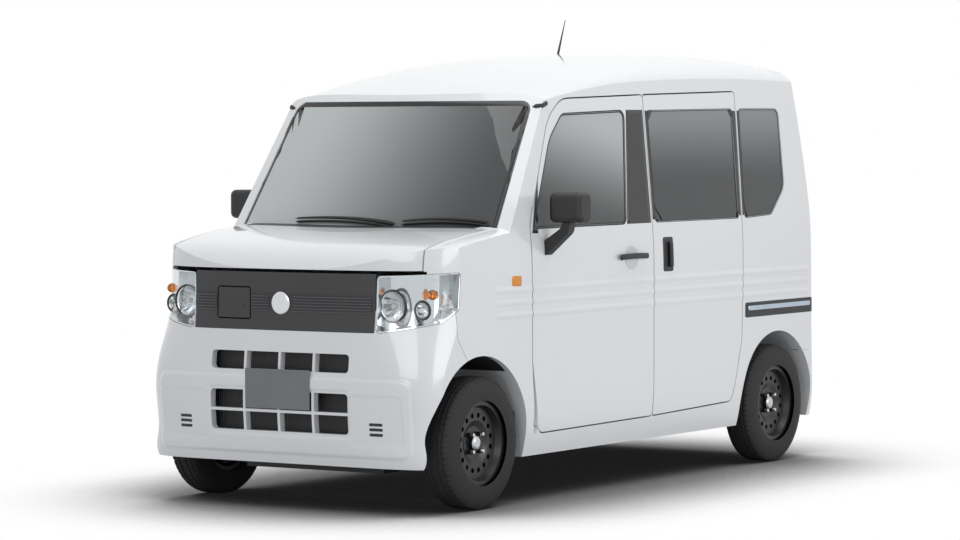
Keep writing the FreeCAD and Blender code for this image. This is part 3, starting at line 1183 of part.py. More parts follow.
drive_unit = block(bay_rear_x + 2 * dim.rail_width, bay_rear_x + 2 * dim.rail_width + dim.drive_length,
                   -dim.drive_width / 2, dim.drive_width / 2, dim.drive_bottom_z, dim.drive_bottom_z + dim.drive_height)
for name, side in SIDES.items():
    keep("knuckle_" + name, on_side(knuckle.fuse(strut), side))
keep("front_frame", front_frame)
keep("drive_unit", drive_unit)

# floor, wheel housings, battery pack
cabin_section = side_section(dim.door_wall, -front_reach, front_reach)
floor_low = dim.floor_z - dim.floor_thickness
tail_inner_x = -body_half + 2 * dim.tail_wall
front_floor = block(dim.kick_x, dim.bulkhead_x - dim.seam, -dim.floor_half, dim.floor_half, floor_low, dim.floor_z)
kick_wall = block(dim.kick_x - dim.floor_thickness / 2, dim.kick_x, -dim.floor_half, dim.floor_half, floor_low,
                  dim.cargo_floor_z)
cargo_floor = block(tail_inner_x, dim.kick_x, -dim.floor_half, dim.floor_half,
                    dim.cargo_floor_z - dim.floor_thickness, dim.cargo_floor_z)
sill_inner = half_width - dim.door_wall - dim.rocker_tuck
sill_y = sill_inner - 2 * dim.rocker_tuck
sill_beam = front_view([
    (sill_y, dim.sill_z + dim.seam, 0),
    (half_width, dim.sill_z + dim.seam, 0),
    (half_width, swing_low, 0),
    (dim.floor_half, swing_low, 0),
    (dim.floor_half, dim.floor_z, 0),
    (sill_y, dim.floor_z, 0),
], rear_axle_x + dim.rear_arch_radius + dim.seam, dim.door_front_x + dim.overrun / 2)
floor = front_floor.fuse([kick_wall, cargo_floor] + both(sill_beam)).common(cabin_section)
rear_rail = block(tail_inner_x, dim.kick_x, rail_inner - dim.rail_width, rail_inner,
                  dim.cargo_floor_z - dim.floor_thickness - dim.rail_height, dim.cargo_floor_z - dim.floor_thickness)
floor = floor.fuse(both(rear_rail))


def liner(x, z, radius, outer_wall_y):
    """Wheel housing: an arched shell with an inner wall."""
    start = Vector(x, dim.arch_inner_y - dim.liner_thickness, z)
    body = Part.makeCylinder(radius + dim.liner_thickness, outer_wall_y - start.y, start, out)
    space = Part.makeCylinder(radius, outer_wall_y, Vector(x, dim.arch_inner_y, z), out)
    above = block(x - 2 * radius, x + 2 * radius, 0, half_width, z, dim.section_top)
    return body.cut(space).common(above)


front_liner = liner(dim.front_arch_x, dim.front_arch_z, dim.front_arch_radius, half_width - dim.bay_wall)
spring_hole = rod(on_steer(dim.strut_top_z / 2), on_steer(dim.strut_top_z), dim.spring_radius + dim.knuckle_radius)
bay_only = block(bay_rear_x, front_x, 0, half_width, 0, dim.section_top)
front_liner = front_liner.cut(spring_hole).common(bay_only).common(bay)
footwell_liner = liner(dim.front_arch_x, dim.front_arch_z, dim.front_arch_radius, half_width - dim.door_wall)
footwell_zone = block(dim.bulkhead_x / 2, dim.bulkhead_x - dim.seam, 0, half_width, floor_low, dim.belt_z)
footwell_liner = footwell_liner.common(footwell_zone).common(cabin)
rear_liner = liner(rear_axle_x, axle_z, dim.rear_arch_radius, half_width - dim.door_wall).common(cabin)
wheel_spaces = []
for x, z, radius in ((dim.front_arch_x, dim.front_arch_z, dim.front_arch_radius), (rear_axle_x, axle_z, dim.rear_arch_radius)):
    wheel_spaces += both(Part.makeCylinder(radius, half_width, Vector(x, dim.arch_inner_y, z), out))
floor = floor.fuse(both(rear_liner) + both(footwell_liner)).cut(wheel_spaces)
keep("front_liners", Part.makeCompound(both(front_liner)))
pack = doc.addObject("Part::Box", "battery_pack")
pack.Label = "battery_pack"
pack.setExpression("Length", "Sizes.pack_length")
pack.setExpression("Width", "Sizes.pack_width")
pack.setExpression("Height", "Sizes.floor_z - Sizes.floor_thickness - Sizes.pack_bottom_z")
pack.Placement.Base = Vector(dim.pack_middle_x - dim.pack_length / 2, -dim.pack_width / 2, dim.pack_bottom_z)
nodes["battery_pack"] = pack

# rear axle: twist beam, trailing arms, spindles, springs
pivot_x = rear_axle_x + 2 * dim.spring_radius + dim.rear_arch_radius
beam_x = rear_axle_x + dim.rear_arch_radius / 2
beam_y = rail_inner + dim.rail_width * 2
beam = Part.makeCylinder(dim.axle_beam_radius, 2 * beam_y, Vector(beam_x, -beam_y, axle_z), out)
arm_y = dim.wheel_track / 2 - half_tyre - dim.axle_beam_radius - dim.hub_cap_radius
trail = block(rear_axle_x - dim.hub_bore, pivot_x, arm_y - dim.axle_beam_radius, arm_y + dim.axle_beam_radius / 2,
              axle_z - dim.axle_beam_radius, axle_z + dim.axle_beam_radius)
hub_rear = hub_face + 2 * dim.rim_sheet / 3
rear_spindle = Part.makeCylinder(spindle_radius, hub_rear - arm_y, Vector(rear_axle_x, arm_y, axle_z), out)
drum_y = dim.wheel_track / 2 - half_rim
drum = Part.makeCylinder(dim.rim_radius - 8 * dim.rim_sheet, dim.hub_cap_radius + dim.rim_sheet * 2,
                         Vector(rear_axle_x, drum_y, axle_z), out)
rear_spring = Part.makeCylinder(dim.spring_radius, dim.cargo_floor_z - dim.floor_thickness - dim.rail_height - axle_z,
                                Vector(rear_axle_x + dim.rear_arch_radius / 2, rail_inner - dim.rail_width / 2, axle_z),
                                Vector(0, 0, 1))
rear_axle = beam.fuse(both(trail) + both(rear_spindle) + both(drum) + both(rear_spring))
keep("rear_axle", rear_axle)
axle_room = dim.axle_beam_radius + dim.clearance
beam_room = Part.makeCylinder(axle_room, 2 * half_width, Vector(beam_x, -half_width, axle_z), out)
trail_room = block(rear_axle_x, pivot_x + dim.clearance, arm_y - axle_room, arm_y + axle_room, axle_z - axle_room,
                   axle_z + axle_room)
keep("floor", floor.cut([beam_room] + both(trail_room)))

# cabin: dashboard, steering wheel, seats
dash_side = [
    (dim.bulkhead_x, dim.floor_z + 2 * dim.tail_wall, 0),
    (dim.bulkhead_x, dim.belt_z - dim.roof_wall, 0),
    (dim.steering_x + 5 * dim.roof_wall, dim.belt_z - dim.roof_wall, dim.roof_wall),
    (dim.steering_x + 3 * dim.roof_wall, dim.steering_z, dim.roof_wall),
    (dim.steering_x + 5 * dim.roof_wall, dim.floor_z + 5 * dim.tail_wall, dim.roof_wall),
]
dashboard = side_prism(dash_side, -dim.dash_half, dim.dash_half).common(cabin)
column_axis = Vector(math.cos(math.radians(dim.steering_tilt)), 0, -math.sin(math.radians(dim.steering_tilt)))
wheel_middle = Vector(dim.steering_x, dim.driver_y, dim.steering_z)
column = rod(wheel_middle + column_axis * dim.roof_wall,
             wheel_middle + column_axis * (dim.column_length + dim.tail_wall), dim.column_radius)
shaft_bore = rod(wheel_middle, wheel_middle + column_axis * dim.column_length, dim.knuckle_radius + dim.running_gap)
dashboard = dashboard.fuse(column).cut(shaft_bore)
rim_ring = Part.makeTorus(dim.wheel_rim_radius, dim.wheel_rim_section, wheel_middle, column_axis)
shaft = rod(wheel_middle, wheel_middle + column_axis * (dim.column_length - dim.seam), dim.knuckle_radius)
boss = Part.makeCylinder(dim.boss_radius, dim.boss_depth, wheel_middle - column_axis * dim.wheel_rim_section, column_axis)
spokes = rod(wheel_middle - Vector(0, dim.wheel_rim_radius, 0), wheel_middle + Vector(0, dim.wheel_rim_radius, 0),
             dim.wheel_rim_section / 2)
steering = rim_ring.fuse([shaft, boss, spokes])
keep("dashboard", dashboard)
keep("steering_wheel", steering)
seat_rear_x = dim.seat_front_x - dim.seat_length
cushion_low = dim.seat_top_z - dim.seat_thickness
seat_bases = []
cushions = []
backs = []
for side in SIDES.values():
    middle_y = side * -dim.driver_y
    y_low = middle_y - dim.seat_width / 2
    y_high = middle_y + dim.seat_width / 2
    seat_bases.append(block(seat_rear_x + dim.roof_wall, dim.seat_front_x - dim.roof_wall, y_low + dim.roof_wall,
                            y_high - dim.roof_wall, dim.floor_z, cushion_low - dim.seat_gap))
    cushion = side_prism(rectangle(seat_rear_x, dim.seat_front_x, cushion_low, dim.seat_top_z, dim.roof_wall), y_low,
                         y_high)
    cushions.append(cushion)
    back = side_prism(rectangle(seat_rear_x - dim.back_thickness, seat_rear_x - dim.seat_gap, cushion_low,
                                cushion_low + dim.back_height, dim.roof_wall), y_low, y_high)
    back.rotate(Vector(seat_rear_x, middle_y, cushion_low), Vector(0, 1, 0), -dim.back_lean)
    back.translate(Vector(dim.back_shift, 0, 0))
    backs.append(back)
keep("seat_bases", Part.makeCompound(seat_bases))
keep("seat_cushions", Part.makeCompound(cushions))
keep("seat_backs", Part.makeCompound(backs))

# roof antenna
antenna_foot = Vector(dim.antenna_x, 0, dim.roof_height - dim.antenna_root)
antenna_way = Vector(-math.sin(math.radians(dim.antenna_lean)), 0, math.cos(math.radians(dim.antenna_lean)))
antenna = Part.makeCone(2 * dim.seam, dim.seam / 2, dim.antenna_length + dim.antenna_root, antenna_foot,
                        antenna_way).cut(roof_mass())
keep("antenna", antenna)

doc.recompute()
for name, feature in nodes.items():
    if "Invalid" in feature.State or feature.Shape.isNull() or not feature.Shape.isValid():
        raise ValueError(name + " has no sound shape")
    print(name, [round(solid.Volume) for solid in feature.Shape.Solids])
print("charge lid axis", tuple(lid_axis_low), tuple(lid_way), "tailgate axis height", gate_axis_z)
os.makedirs("parts", exist_ok=True)
for name, feature in nodes.items():
    feature.Shape.exportStep("parts/" + name + ".step")
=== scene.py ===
# %% [markdown]
# # A kei van in a white studio
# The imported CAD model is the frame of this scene: every panel, lamp and wheel stands at its real place, in
# metres, with x forward, y to the van's left and z up. This notebook gives those panels their finishes, adds
# the small things that make a van look real, such as seals, wipers and tread, and sets camera and light.

# %% Load the frame
import math

import bmesh
import bpy
import numpy as np
from mathutils import Matrix, Vector
from mathutils.bvhtree import BVHTree
from mathutils.geometry import convex_hull_2d


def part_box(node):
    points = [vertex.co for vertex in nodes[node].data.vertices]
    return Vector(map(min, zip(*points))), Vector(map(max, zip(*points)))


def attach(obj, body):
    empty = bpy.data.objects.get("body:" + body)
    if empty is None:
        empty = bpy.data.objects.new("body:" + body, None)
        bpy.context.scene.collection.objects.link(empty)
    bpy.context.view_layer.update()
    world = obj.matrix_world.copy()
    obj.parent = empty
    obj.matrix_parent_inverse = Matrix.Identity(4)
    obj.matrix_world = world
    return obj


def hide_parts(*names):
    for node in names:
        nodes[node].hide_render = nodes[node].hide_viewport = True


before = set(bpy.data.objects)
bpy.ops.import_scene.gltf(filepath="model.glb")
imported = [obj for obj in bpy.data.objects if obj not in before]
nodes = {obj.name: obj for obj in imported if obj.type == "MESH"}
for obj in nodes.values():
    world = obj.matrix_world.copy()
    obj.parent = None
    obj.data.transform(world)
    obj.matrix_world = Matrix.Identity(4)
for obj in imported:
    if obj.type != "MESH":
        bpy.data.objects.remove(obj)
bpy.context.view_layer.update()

# %% [markdown]
# ## Helpers for finishes
# A colour is written as a screen's hex value, and Blender wants the linear light behind it. A finish is a
# small graph of shader nodes, so one helper adds a node, sets it and links it in one line.

# %% Colour and node helpers
MILLIMETRE = 0.001


def linear(code):
    """sRGB hex to linear: each channel is divided by 12.92 when dark, else raised to the power 2.4."""
    channels = np.array([int(code[place:place + 2], 16) for place in (0, 2, 4)]) / 255
    light = np.where(channels <= 0.04045, channels / 12.92, ((channels + 0.055) / 1.055) ** 2.4)
    return (*light, 1.0)


def add_node(finish, kind, inputs=None, **settings):
    """Adds one shader node; an input is a plain value, or the output socket of another node."""
    made = finish.node_tree.nodes.new("ShaderNode" + kind)
    for name, value in settings.items():
        setattr(made, name, value)
    for name, value in (inputs or {}).items():
        if isinstance(value, bpy.types.NodeSocket):
            finish.node_tree.links.new(value, made.inputs[name])
        else:
            made.inputs[name].default_value = value
    return made


def mixed_tone(finish, share, first, second):
    """A mix of two colours by a share from 0 to 1: the node, whose colour is its output 2."""
    return add_node(finish, "Mix", {0: share, 6: first, 7: second}, data_type="RGBA")


def found(finish, kind):
    """The first node of a kind in a finish that is already made."""
    return next(node for node in finish.node_tree.nodes if node.type == kind)


def new_finish(name):
    """An empty finish, and the place on the van that its patterns read."""
    finish = bpy.data.materials.new(name)
    finish.use_nodes = True
    finish.node_tree.nodes.clear()
    return finish, add_node(finish, "TexCoord").outputs["Object"]


def grained(name, pale, dark, grain_mm, patch_mm, rough, height_mm, metallic=0.0, **shader):
    """A finish whose colour drifts between two close tones, with a fine grain in its roughness and its bump.

    Noise scale is one over the real size in metres; roughness runs between the two values in rough.
    """
    finish, place = new_finish(name)
    patches = add_node(finish, "TexNoise", {
        "Vector": place, "Scale": 1 / (patch_mm * MILLIMETRE), "Detail": 3.0})
    grain = add_node(finish, "TexNoise", {
        "Vector": place, "Scale": 1 / (grain_mm * MILLIMETRE), "Detail": 2.0})
    tone = mixed_tone(finish, patches.outputs[0], linear(pale), linear(dark))
    polish = add_node(finish, "MapRange", {"Value": grain.outputs[0], "To Min": rough[0], "To Max": rough[1]})
    relief = add_node(finish, "Bump", {
        "Height": grain.outputs[0], "Distance": height_mm * MILLIMETRE, "Strength": 1.0})
    surface = add_node(finish, "BsdfPrincipled", {
        "Base Color": tone.outputs[2], "Roughness": polish.outputs[0], "Normal": relief.outputs[0],
        "Metallic": metallic, **shader})
    add_node(finish, "OutputMaterial", {"Surface": surface.outputs[0]})
    return finish


# %% [markdown]
# ## The camera
# The photograph was taken with a long lens from the front left, a little above the van's waist. The place and
# the angles were worked out once from axles, plates and window corners, and are written here as real sizes.

# %% Camera
camera_data = bpy.data.cameras.new("studio_camera")
camera = bpy.data.objects.new("studio_camera", camera_data)
bpy.context.scene.collection.objects.link(camera)
bpy.context.scene.camera = camera
photo_width, photo_height = 960, 540
focal_pixels = 3631.4
centre_px = (481.61, 265.82)
stand = (13.790, 8.961, 1.612)
heading, slope, tilt = (math.radians(angle) for angle in (-146.700, -2.279, -0.233))
look = Vector((math.cos(heading) * math.cos(slope), math.sin(heading) * math.cos(slope), math.sin(slope)))
level = Vector((math.sin(heading), -math.cos(heading), 0.0))
above = level.cross(look)
right = math.cos(tilt) * level + math.sin(tilt) * above
above = -math.sin(tilt) * level + math.cos(tilt) * above
turned = Matrix((right, above, -look)).transposed().to_4x4()
camera.matrix_world = Matrix.Translation(stand) @ turned
camera_data.sensor_width = 36
camera_data.lens = focal_pixels / photo_width * camera_data.sensor_width
camera_data.shift_x = (photo_width / 2 - centre_px[0]) / photo_width
camera_data.shift_y = (centre_px[1] - photo_height / 2) / photo_width
print("lens", round(camera_data.lens, 1), "mm")

# %% [markdown]
# ## The studio
# A product studio is a pale floor under a pale sky, with a large soft lamp overhead and two more at the front
# and the side. Lamps alone would have to be very bright to make the paper white, and the van would clip. So
# where the camera, a mirror face or clear glass sees the floor, it is white paper with a painted shadow that
# darkens by ambient occlusion where the van closes it in; for the light on the van it is a plain matt grey.

# %% The floor
floor_half = 30.0
floor_corners = [(-floor_half, -floor_half, 0), (floor_half, -floor_half, 0), (floor_half, floor_half, 0),
                 (-floor_half, floor_half, 0)]
floor_mesh = bpy.data.meshes.new("studio_floor")
floor_mesh.from_pydata(floor_corners, [], [(0, 1, 2, 3)])
studio_floor = bpy.data.objects.new("studio_floor", floor_mesh)
bpy.context.scene.collection.objects.link(studio_floor)


def white_where_seen(owner):
    """1 for camera, mirror and see-through rays, 0 for the light that falls on the van."""
    path = add_node(owner, "LightPath").outputs
    direct = add_node(owner, "Math", {0: path["Is Camera Ray"], 1: path["Is Transmission Ray"]},
                      operation="MAXIMUM").outputs[0]
    return add_node(owner, "Math", {0: direct, 1: path["Is Glossy Ray"]}, operation="MAXIMUM").outputs[0]


shade_reach = 1.1
shade_tones = ((0.22, "1C1C1C"), (0.62, "707070"), (0.93, "FFFFFF"))
backdrop = new_finish("painted_backdrop")[0]
matt = add_node(backdrop, "BsdfDiffuse", {"Color": linear("D8D8D8")})
openness = add_node(backdrop, "AmbientOcclusion", {"Distance": shade_reach}, samples=12)
shade = add_node(backdrop, "ValToRGB", {"Fac": openness.outputs["AO"]})
ramp = shade.color_ramp.elements
ramp[0].position, ramp[1].position = shade_tones[0][0], shade_tones[2][0]
ramp.new(shade_tones[1][0])
for stop, (_, tone) in zip(ramp, shade_tones):
    stop.color = linear(tone)
# The paper's emission follows a ramp of ambient occlusion: a painted shadow under the van.
paper_with_painted_shadow = add_node(backdrop, "Emission", {"Color": shade.outputs[0], "Strength": 1.0})
choice = add_node(backdrop, "MixShader", {
    0: white_where_seen(backdrop), 1: matt.outputs[0], 2: paper_with_painted_shadow.outputs[0]})
add_node(backdrop, "OutputMaterial", {"Surface": choice.outputs[0]})
floor_mesh.materials.append(backdrop)

# %% Sky and lamps
world = bpy.data.worlds.new("studio_sky")
bpy.context.scene.world = world
world.use_nodes = True
world.node_tree.nodes.clear()
soft = add_node(world, "Background", {"Color": linear("F4F7FA"), "Strength": 0.34})
white = add_node(world, "Background", {"Color": linear("FFFFFF"), "Strength": 1.0})
sky = add_node(world, "MixShader", {0: white_where_seen(world), 1: soft.outputs[0], 2: white.outputs[0]})
add_node(world, "OutputWorld", {"Surface": sky.outputs[0]})


def add_softbox(name, place, aim, width, depth, watts):
    """A rectangular lamp at a place, turned to face the aim point."""
    data = bpy.data.lights.new(name, "AREA")
    data.shape = "RECTANGLE"
    data.size, data.size_y, data.energy = width, depth, watts
    lamp = bpy.data.objects.new(name, data)
    bpy.context.scene.collection.objects.link(lamp)
    lamp.location = place
    lamp.rotation_euler = (Vector(aim) - Vector(place)).to_track_quat("-Z", "Y").to_euler()


add_softbox("overhead_lamp", (0.3, 0.6, 6.0), (0, 0, 1), 6.0, 4.0, 150)
add_softbox("front_lamp", (7.5, 1.5, 3.5), (1.0, 0, 0.8), 4.0, 3.0, 95)
add_softbox("side_lamp", (0.0, 8.0, 2.6), (0, 0, 0.9), 6.0, 3.0, 170)
bpy.context.scene.view_settings.view_transform = "Standard"

# %% [markdown]
# ## Finishes of the body
# Car paint is a baked enamel under a clear coat: nearly white, with a sharp sheen from the coat and a very
# slight orange peel. The unpainted panels are polypropylene, moulded in colour, with a fine spark grain.

# %% Paint and plastics
GLOSSY_COAT = {"Coat Weight": 1.0, "Coat Roughness": 0.04, "IOR": 1.5}
FLEX_COAT = {"Coat Weight": 1.0, "Coat Roughness": 0.06, "IOR": 1.5}
# Baked enamel: a soft white under a mirror-like coat, with orange peel 9 mm across.
white_enamel = grained("white_baked_enamel", "EEF0F2", "EAECEF", 9, 900, (0.30, 0.36), 0.02, **GLOSSY_COAT)
# The same paint on a moulded bumper: a little duller, with a wider peel.
bumper_enamel = grained("white_enamel_on_plastic", "EDEFF1", "E9EBEE", 12, 700, (0.32, 0.38), 0.02,
                        **FLEX_COAT)
# Primer without a coat, inside the load space: flat and slightly dusty.
primer = grained("white_primer", "D9DBDC", "D0D2D4", 6, 500, (0.5, 0.62), 0.04)
# Spark-eroded moulds leave a grain of 1 to 2 mm that breaks the sheen of black and grey polypropylene.
black_moulding = grained("black_moulded_polypropylene", "212122", "191A1B", 1.4, 160, (0.42, 0.58), 0.05)
grille_moulding = grained("grey_moulded_polypropylene", "39393B", "313133", 1.8, 240, (0.45, 0.6), 0.05)
port_plastic = grained("grey_glass_filled_nylon", "56575A", "4B4C4F", 1.6, 120, (0.5, 0.62), 0.05)
# Needled felt swallows light, so the wheel arches read as black holes.
liner_felt = grained("black_wheel_housing_felt", "1C1C1D", "131314", 2.5, 90, (0.85, 0.98), 0.5)
dash_moulding = grained("charcoal_moulded_dash", "3A3B3D", "2E2F31", 2.2, 260, (0.55, 0.7), 0.08)
wheel_leathercloth = grained("black_leathercloth", "1E1E1F", "161617", 2.0, 80, (0.4, 0.55), 0.1)

# %% [markdown]
# ## Metals and rubber
# Wheels are pressed steel under black powder coat. Castings and the drive unit's case are bare aluminium, and
# what carries the axles is steel under a thin black dip. Tyre rubber is a dull near-black.

# %% Metals and rubber
# Powder coat flows out as it is baked: smooth, half gloss, with a soft pebble.
black_powder_coat = grained("black_powder_coat_on_steel", "1F2021", "161718", 1.2, 90, (0.28, 0.42), 0.04)
chassis_dip = grained("black_dipped_steel", "2A2B2D", "1F2022", 3.0, 120, (0.4, 0.6), 0.08)
# Sand-cast metal is grainy and grey; the rolled case beside it is smoother.
cast_aluminium = grained("cast_aluminium", "A3A5A8", "8E9094", 2.5, 150, (0.38, 0.55), 0.15, metallic=1.0)
pack_aluminium = grained("rolled_aluminium_case", "8F9296", "7D8084", 2.0, 220, (0.35, 0.5), 0.05,
                         metallic=1.0)
plate_enamel = grained("grey_plate_enamel", "7E7F81", "747577", 4, 150, (0.4, 0.5), 0.03)
# Moulded rubber: no highlight, only a broad dull sheen.
tyre_rubber = grained("tyre_rubber", "262627", "1D1D1E", 2.0, 120, (0.7, 0.85), 0.12)
seat_steel = grained("black_enamelled_seat_frame", "242526", "1B1C1D", 2.0, 120, (0.4, 0.55), 0.04)
# Woven cloth, drawn a little coarse at 1.6 mm so that it shows, with the sheen of its loose fibres.
seat_weave = grained("charcoal_seat_cloth", "434447", "36373A", 1.6, 140, (0.8, 0.95), 0.25,
                     **{"Sheen Weight": 0.25})
# Bright metals: a vacuum-coated lamp bowl, satin chrome, zinc on nuts, the bluish zinc of the slide rail, and
# the silver behind a mirror's glass.
chrome_reflector = grained("vacuum_metallised_reflector", "DDDFE1", "CFD2D5", 6, 120, (0.06, 0.12), 0.02,
                           metallic=1.0)
satin_chrome = grained("satin_chrome_plate", "D5D7DA", "C6C9CC", 2.0, 60, (0.14, 0.22), 0.01, metallic=1.0)
plated_steel = grained("zinc_plated_steel", "C9CBCE", "B4B7BA", 2.0, 30, (0.16, 0.26), 0.02, metallic=1.0)
rail_steel = grained("zinc_plated_slide_rail", "B9C4D2", "A4B0BF", 2.0, 60, (0.2, 0.32), 0.03, metallic=1.0)
silvered_glass = grained("silvered_mirror_glass", "C4C8CA", "BCC0C2", 8, 200, (0.02, 0.04), 0.005,
                         metallic=1.0)

# %% [markdown]
# ## Glass
# The van's glass carries a painted reflection: silver grey at one end of a line on the van, dark at the
# other end, with little of the cabin behind it. The start is a glass shader with a dye. The painted
# reflection is a second tone that is less see-through, and its share is a distance along a line on the van.

# %% Glass
glass_index, pane_roughness = 1.52, 0.006


def dyed_glass(name, tint, dark_tint, rough):
    """Glass with its dye in the pass colour: a slight drift of tint, and smooth faces with long waves."""
    finish, place = new_finish(name)
    drift = add_node(finish, "TexNoise", {"Vector": place, "Scale": 1.4})
    tone = mixed_tone(finish, drift.outputs[0], linear(tint), linear(dark_tint))
    wave = add_node(finish, "TexNoise", {"Vector": place, "Scale": 5.0})
    polish = add_node(finish, "MapRange", {"Value": wave.outputs[0], "To Min": rough, "To Max": rough * 2})
    relief = add_node(finish, "Bump", {
        "Height": wave.outputs[0], "Distance": 0.2 * MILLIMETRE, "Strength": 0.4})
    pane = add_node(finish, "BsdfPrincipled", {
        "Base Color": tone.outputs[2], "Roughness": polish.outputs[0], "Normal": relief.outputs[0],
        "Transmission Weight": 1.0, "IOR": glass_index})
    add_node(finish, "OutputMaterial", {"Surface": pane.outputs[0]})
    return finish


def coated_glass(name, pale, deep, painted_reflection_bright_place, painted_reflection_dark_place, see_through):
    """Glass with a painted reflection: a pale tone at one place of the van, fading to a dark one at another.

    The share of painted reflection is the distance along the line between the two places: a dot product,
    mapped to 0 to 1.
    see_through is the clear share of the glass at the deep and at the pale end.
    """
    finish = dyed_glass(name, deep, deep, pane_roughness)
    pane = found(finish, "BSDF_PRINCIPLED")
    place = found(finish, "TEX_COORD").outputs["Object"]
    line = Vector(painted_reflection_bright_place) - Vector(painted_reflection_dark_place)
    along = add_node(finish, "VectorMath", {0: place, 1: tuple(line)}, operation="DOT_PRODUCT")
    painted_reflection_share = add_node(finish, "MapRange", {
        "Value": along.outputs["Value"], "From Min": line.dot(Vector(painted_reflection_dark_place)),
        "From Max": line.dot(Vector(painted_reflection_bright_place))}, interpolation_type="SMOOTHSTEP")
    tone = mixed_tone(finish, painted_reflection_share.outputs[0], linear(deep), linear(pale))
    clear = add_node(finish, "MapRange", {
        "Value": painted_reflection_share.outputs[0], "To Min": see_through[0], "To Max": see_through[1]})
    finish.node_tree.links.new(tone.outputs[2], pane.inputs["Base Color"])
    finish.node_tree.links.new(clear.outputs[0], pane.inputs["Transmission Weight"])
    return finish


# The pale tone of each pane is a painted reflection of the studio. The dark tone is the glass's dye.
screen_glass = coated_glass("windscreen_with_painted_reflection", "D2D6D6", "4E5254", (1.0, -0.55, 1.60),
                            (0.95, 0.62, 1.30), (0.35, 0.12))
clear_glass = coated_glass("door_glass_with_painted_reflection", "CDD1D1", "484C4E", (0.3, 0.7, 1.66),
                           (0.4, 0.7, 1.17), (0.4, 0.15))
dark_glass = coated_glass("privacy_glass_with_painted_reflection", "979B9D", "35383B", (-0.7, 0.7, 1.70),
                          (-0.7, 0.7, 1.32), (0.3, 0.15))
# Lamp covers are moulded and hard-coated: clear polycarbonate, and acrylic dyed red or amber all through.
lens_plastic = dyed_glass("clear_polycarbonate_lens", "F4F7F8", "EDF1F3", pane_roughness)
red_lens = dyed_glass("red_acrylic_lens", "C81818", "A81010", 0.02)
amber_glass = dyed_glass("amber_lamp_glass", "F08A1C", "E07810", 0.02)

# %% The cowl's ends carry body paint
cowl_moulding = grained("black_cowl_with_painted_ends", "212122", "191A1B", 1.4, 160, (0.42, 0.58), 0.05)
paint_start = 0.60
cowl_shader = found(cowl_moulding, "BSDF_PRINCIPLED")
cowl_place = found(cowl_moulding, "TEX_COORD").outputs["Object"]
bare_tone = cowl_shader.inputs["Base Color"].links[0].from_socket
across = add_node(cowl_moulding, "SeparateXYZ", {"Vector": cowl_place}).outputs["Y"]
reach = add_node(cowl_moulding, "Math", {0: across}, operation="ABSOLUTE").outputs[0]
painted = add_node(cowl_moulding, "Math", {0: reach, 1: paint_start}, operation="GREATER_THAN").outputs[0]
cowl_tone = mixed_tone(cowl_moulding, painted, bare_tone, linear("ECEEF0"))
cowl_moulding.node_tree.links.new(cowl_tone.outputs[2], cowl_shader.inputs["Base Color"])

# %% Every CAD node gets its finish
SIDES = (("left", 1), ("right", -1))
AXLES = (("front", 1.2435), ("rear", -1.2765))
WHEELS = [axle + "_" + side for axle, _ in AXLES for side, _ in SIDES]
FINISHES = {
    white_enamel: ["door_left", "door_right", "sliding_doors", "wings", "side_frames", "hood", "tailgate",
                   "roof_panel"],
    bumper_enamel: ["front_bumper", "rear_bumper"],
    grille_moulding: ["grille_panel", "charge_lid"],
    primer: ["bulkhead", "floor"],
    black_moulding: ["mirror_left", "mirror_right", "antenna"],
    cowl_moulding: ["cowl"],
    port_plastic: ["charge_port"],
    liner_felt: ["front_liners"],
    dash_moulding: ["dashboard"],
    wheel_leathercloth: ["steering_wheel"],
    black_powder_coat: ["rim_" + wheel for wheel in WHEELS],
    tyre_rubber: ["tyre_" + wheel for wheel in WHEELS],
    chassis_dip: ["front_frame", "rear_axle", "knuckle_left", "knuckle_right"],
    cast_aluminium: ["drive_unit"],
    pack_aluminium: ["battery_pack"],
    plate_enamel: ["front_plate", "rear_plate"],
    seat_steel: ["seat_bases"],
    seat_weave: ["seat_cushions", "seat_backs"],
    screen_glass: ["windscreen"],
    clear_glass: ["door_glass_left", "door_glass_right"],
    dark_glass: ["side_glass", "tailgate_glass"],
    lens_plastic: ["headlamp_lenses"],
    chrome_reflector: ["headlamps"],
    red_lens: ["tail_lamps"],
}
for finish, names in FINISHES.items():
    for name in names:
        nodes[name].data.materials.clear()
        nodes[name].data.materials.append(finish)
print("finishes", len(FINISHES), "on", sum(len(names) for names in FINISHES.values()), "nodes")

# %% [markdown]
# ## Surfaces from arrays
# Everything that is added is a surface worked out on a grid of two parameters. One helper turns such a grid
# into a mesh that rides on a body of the van. A second one drops a flat grid on to the pressed panels, so a
# mask, a seal or a handle follows the metal under it.

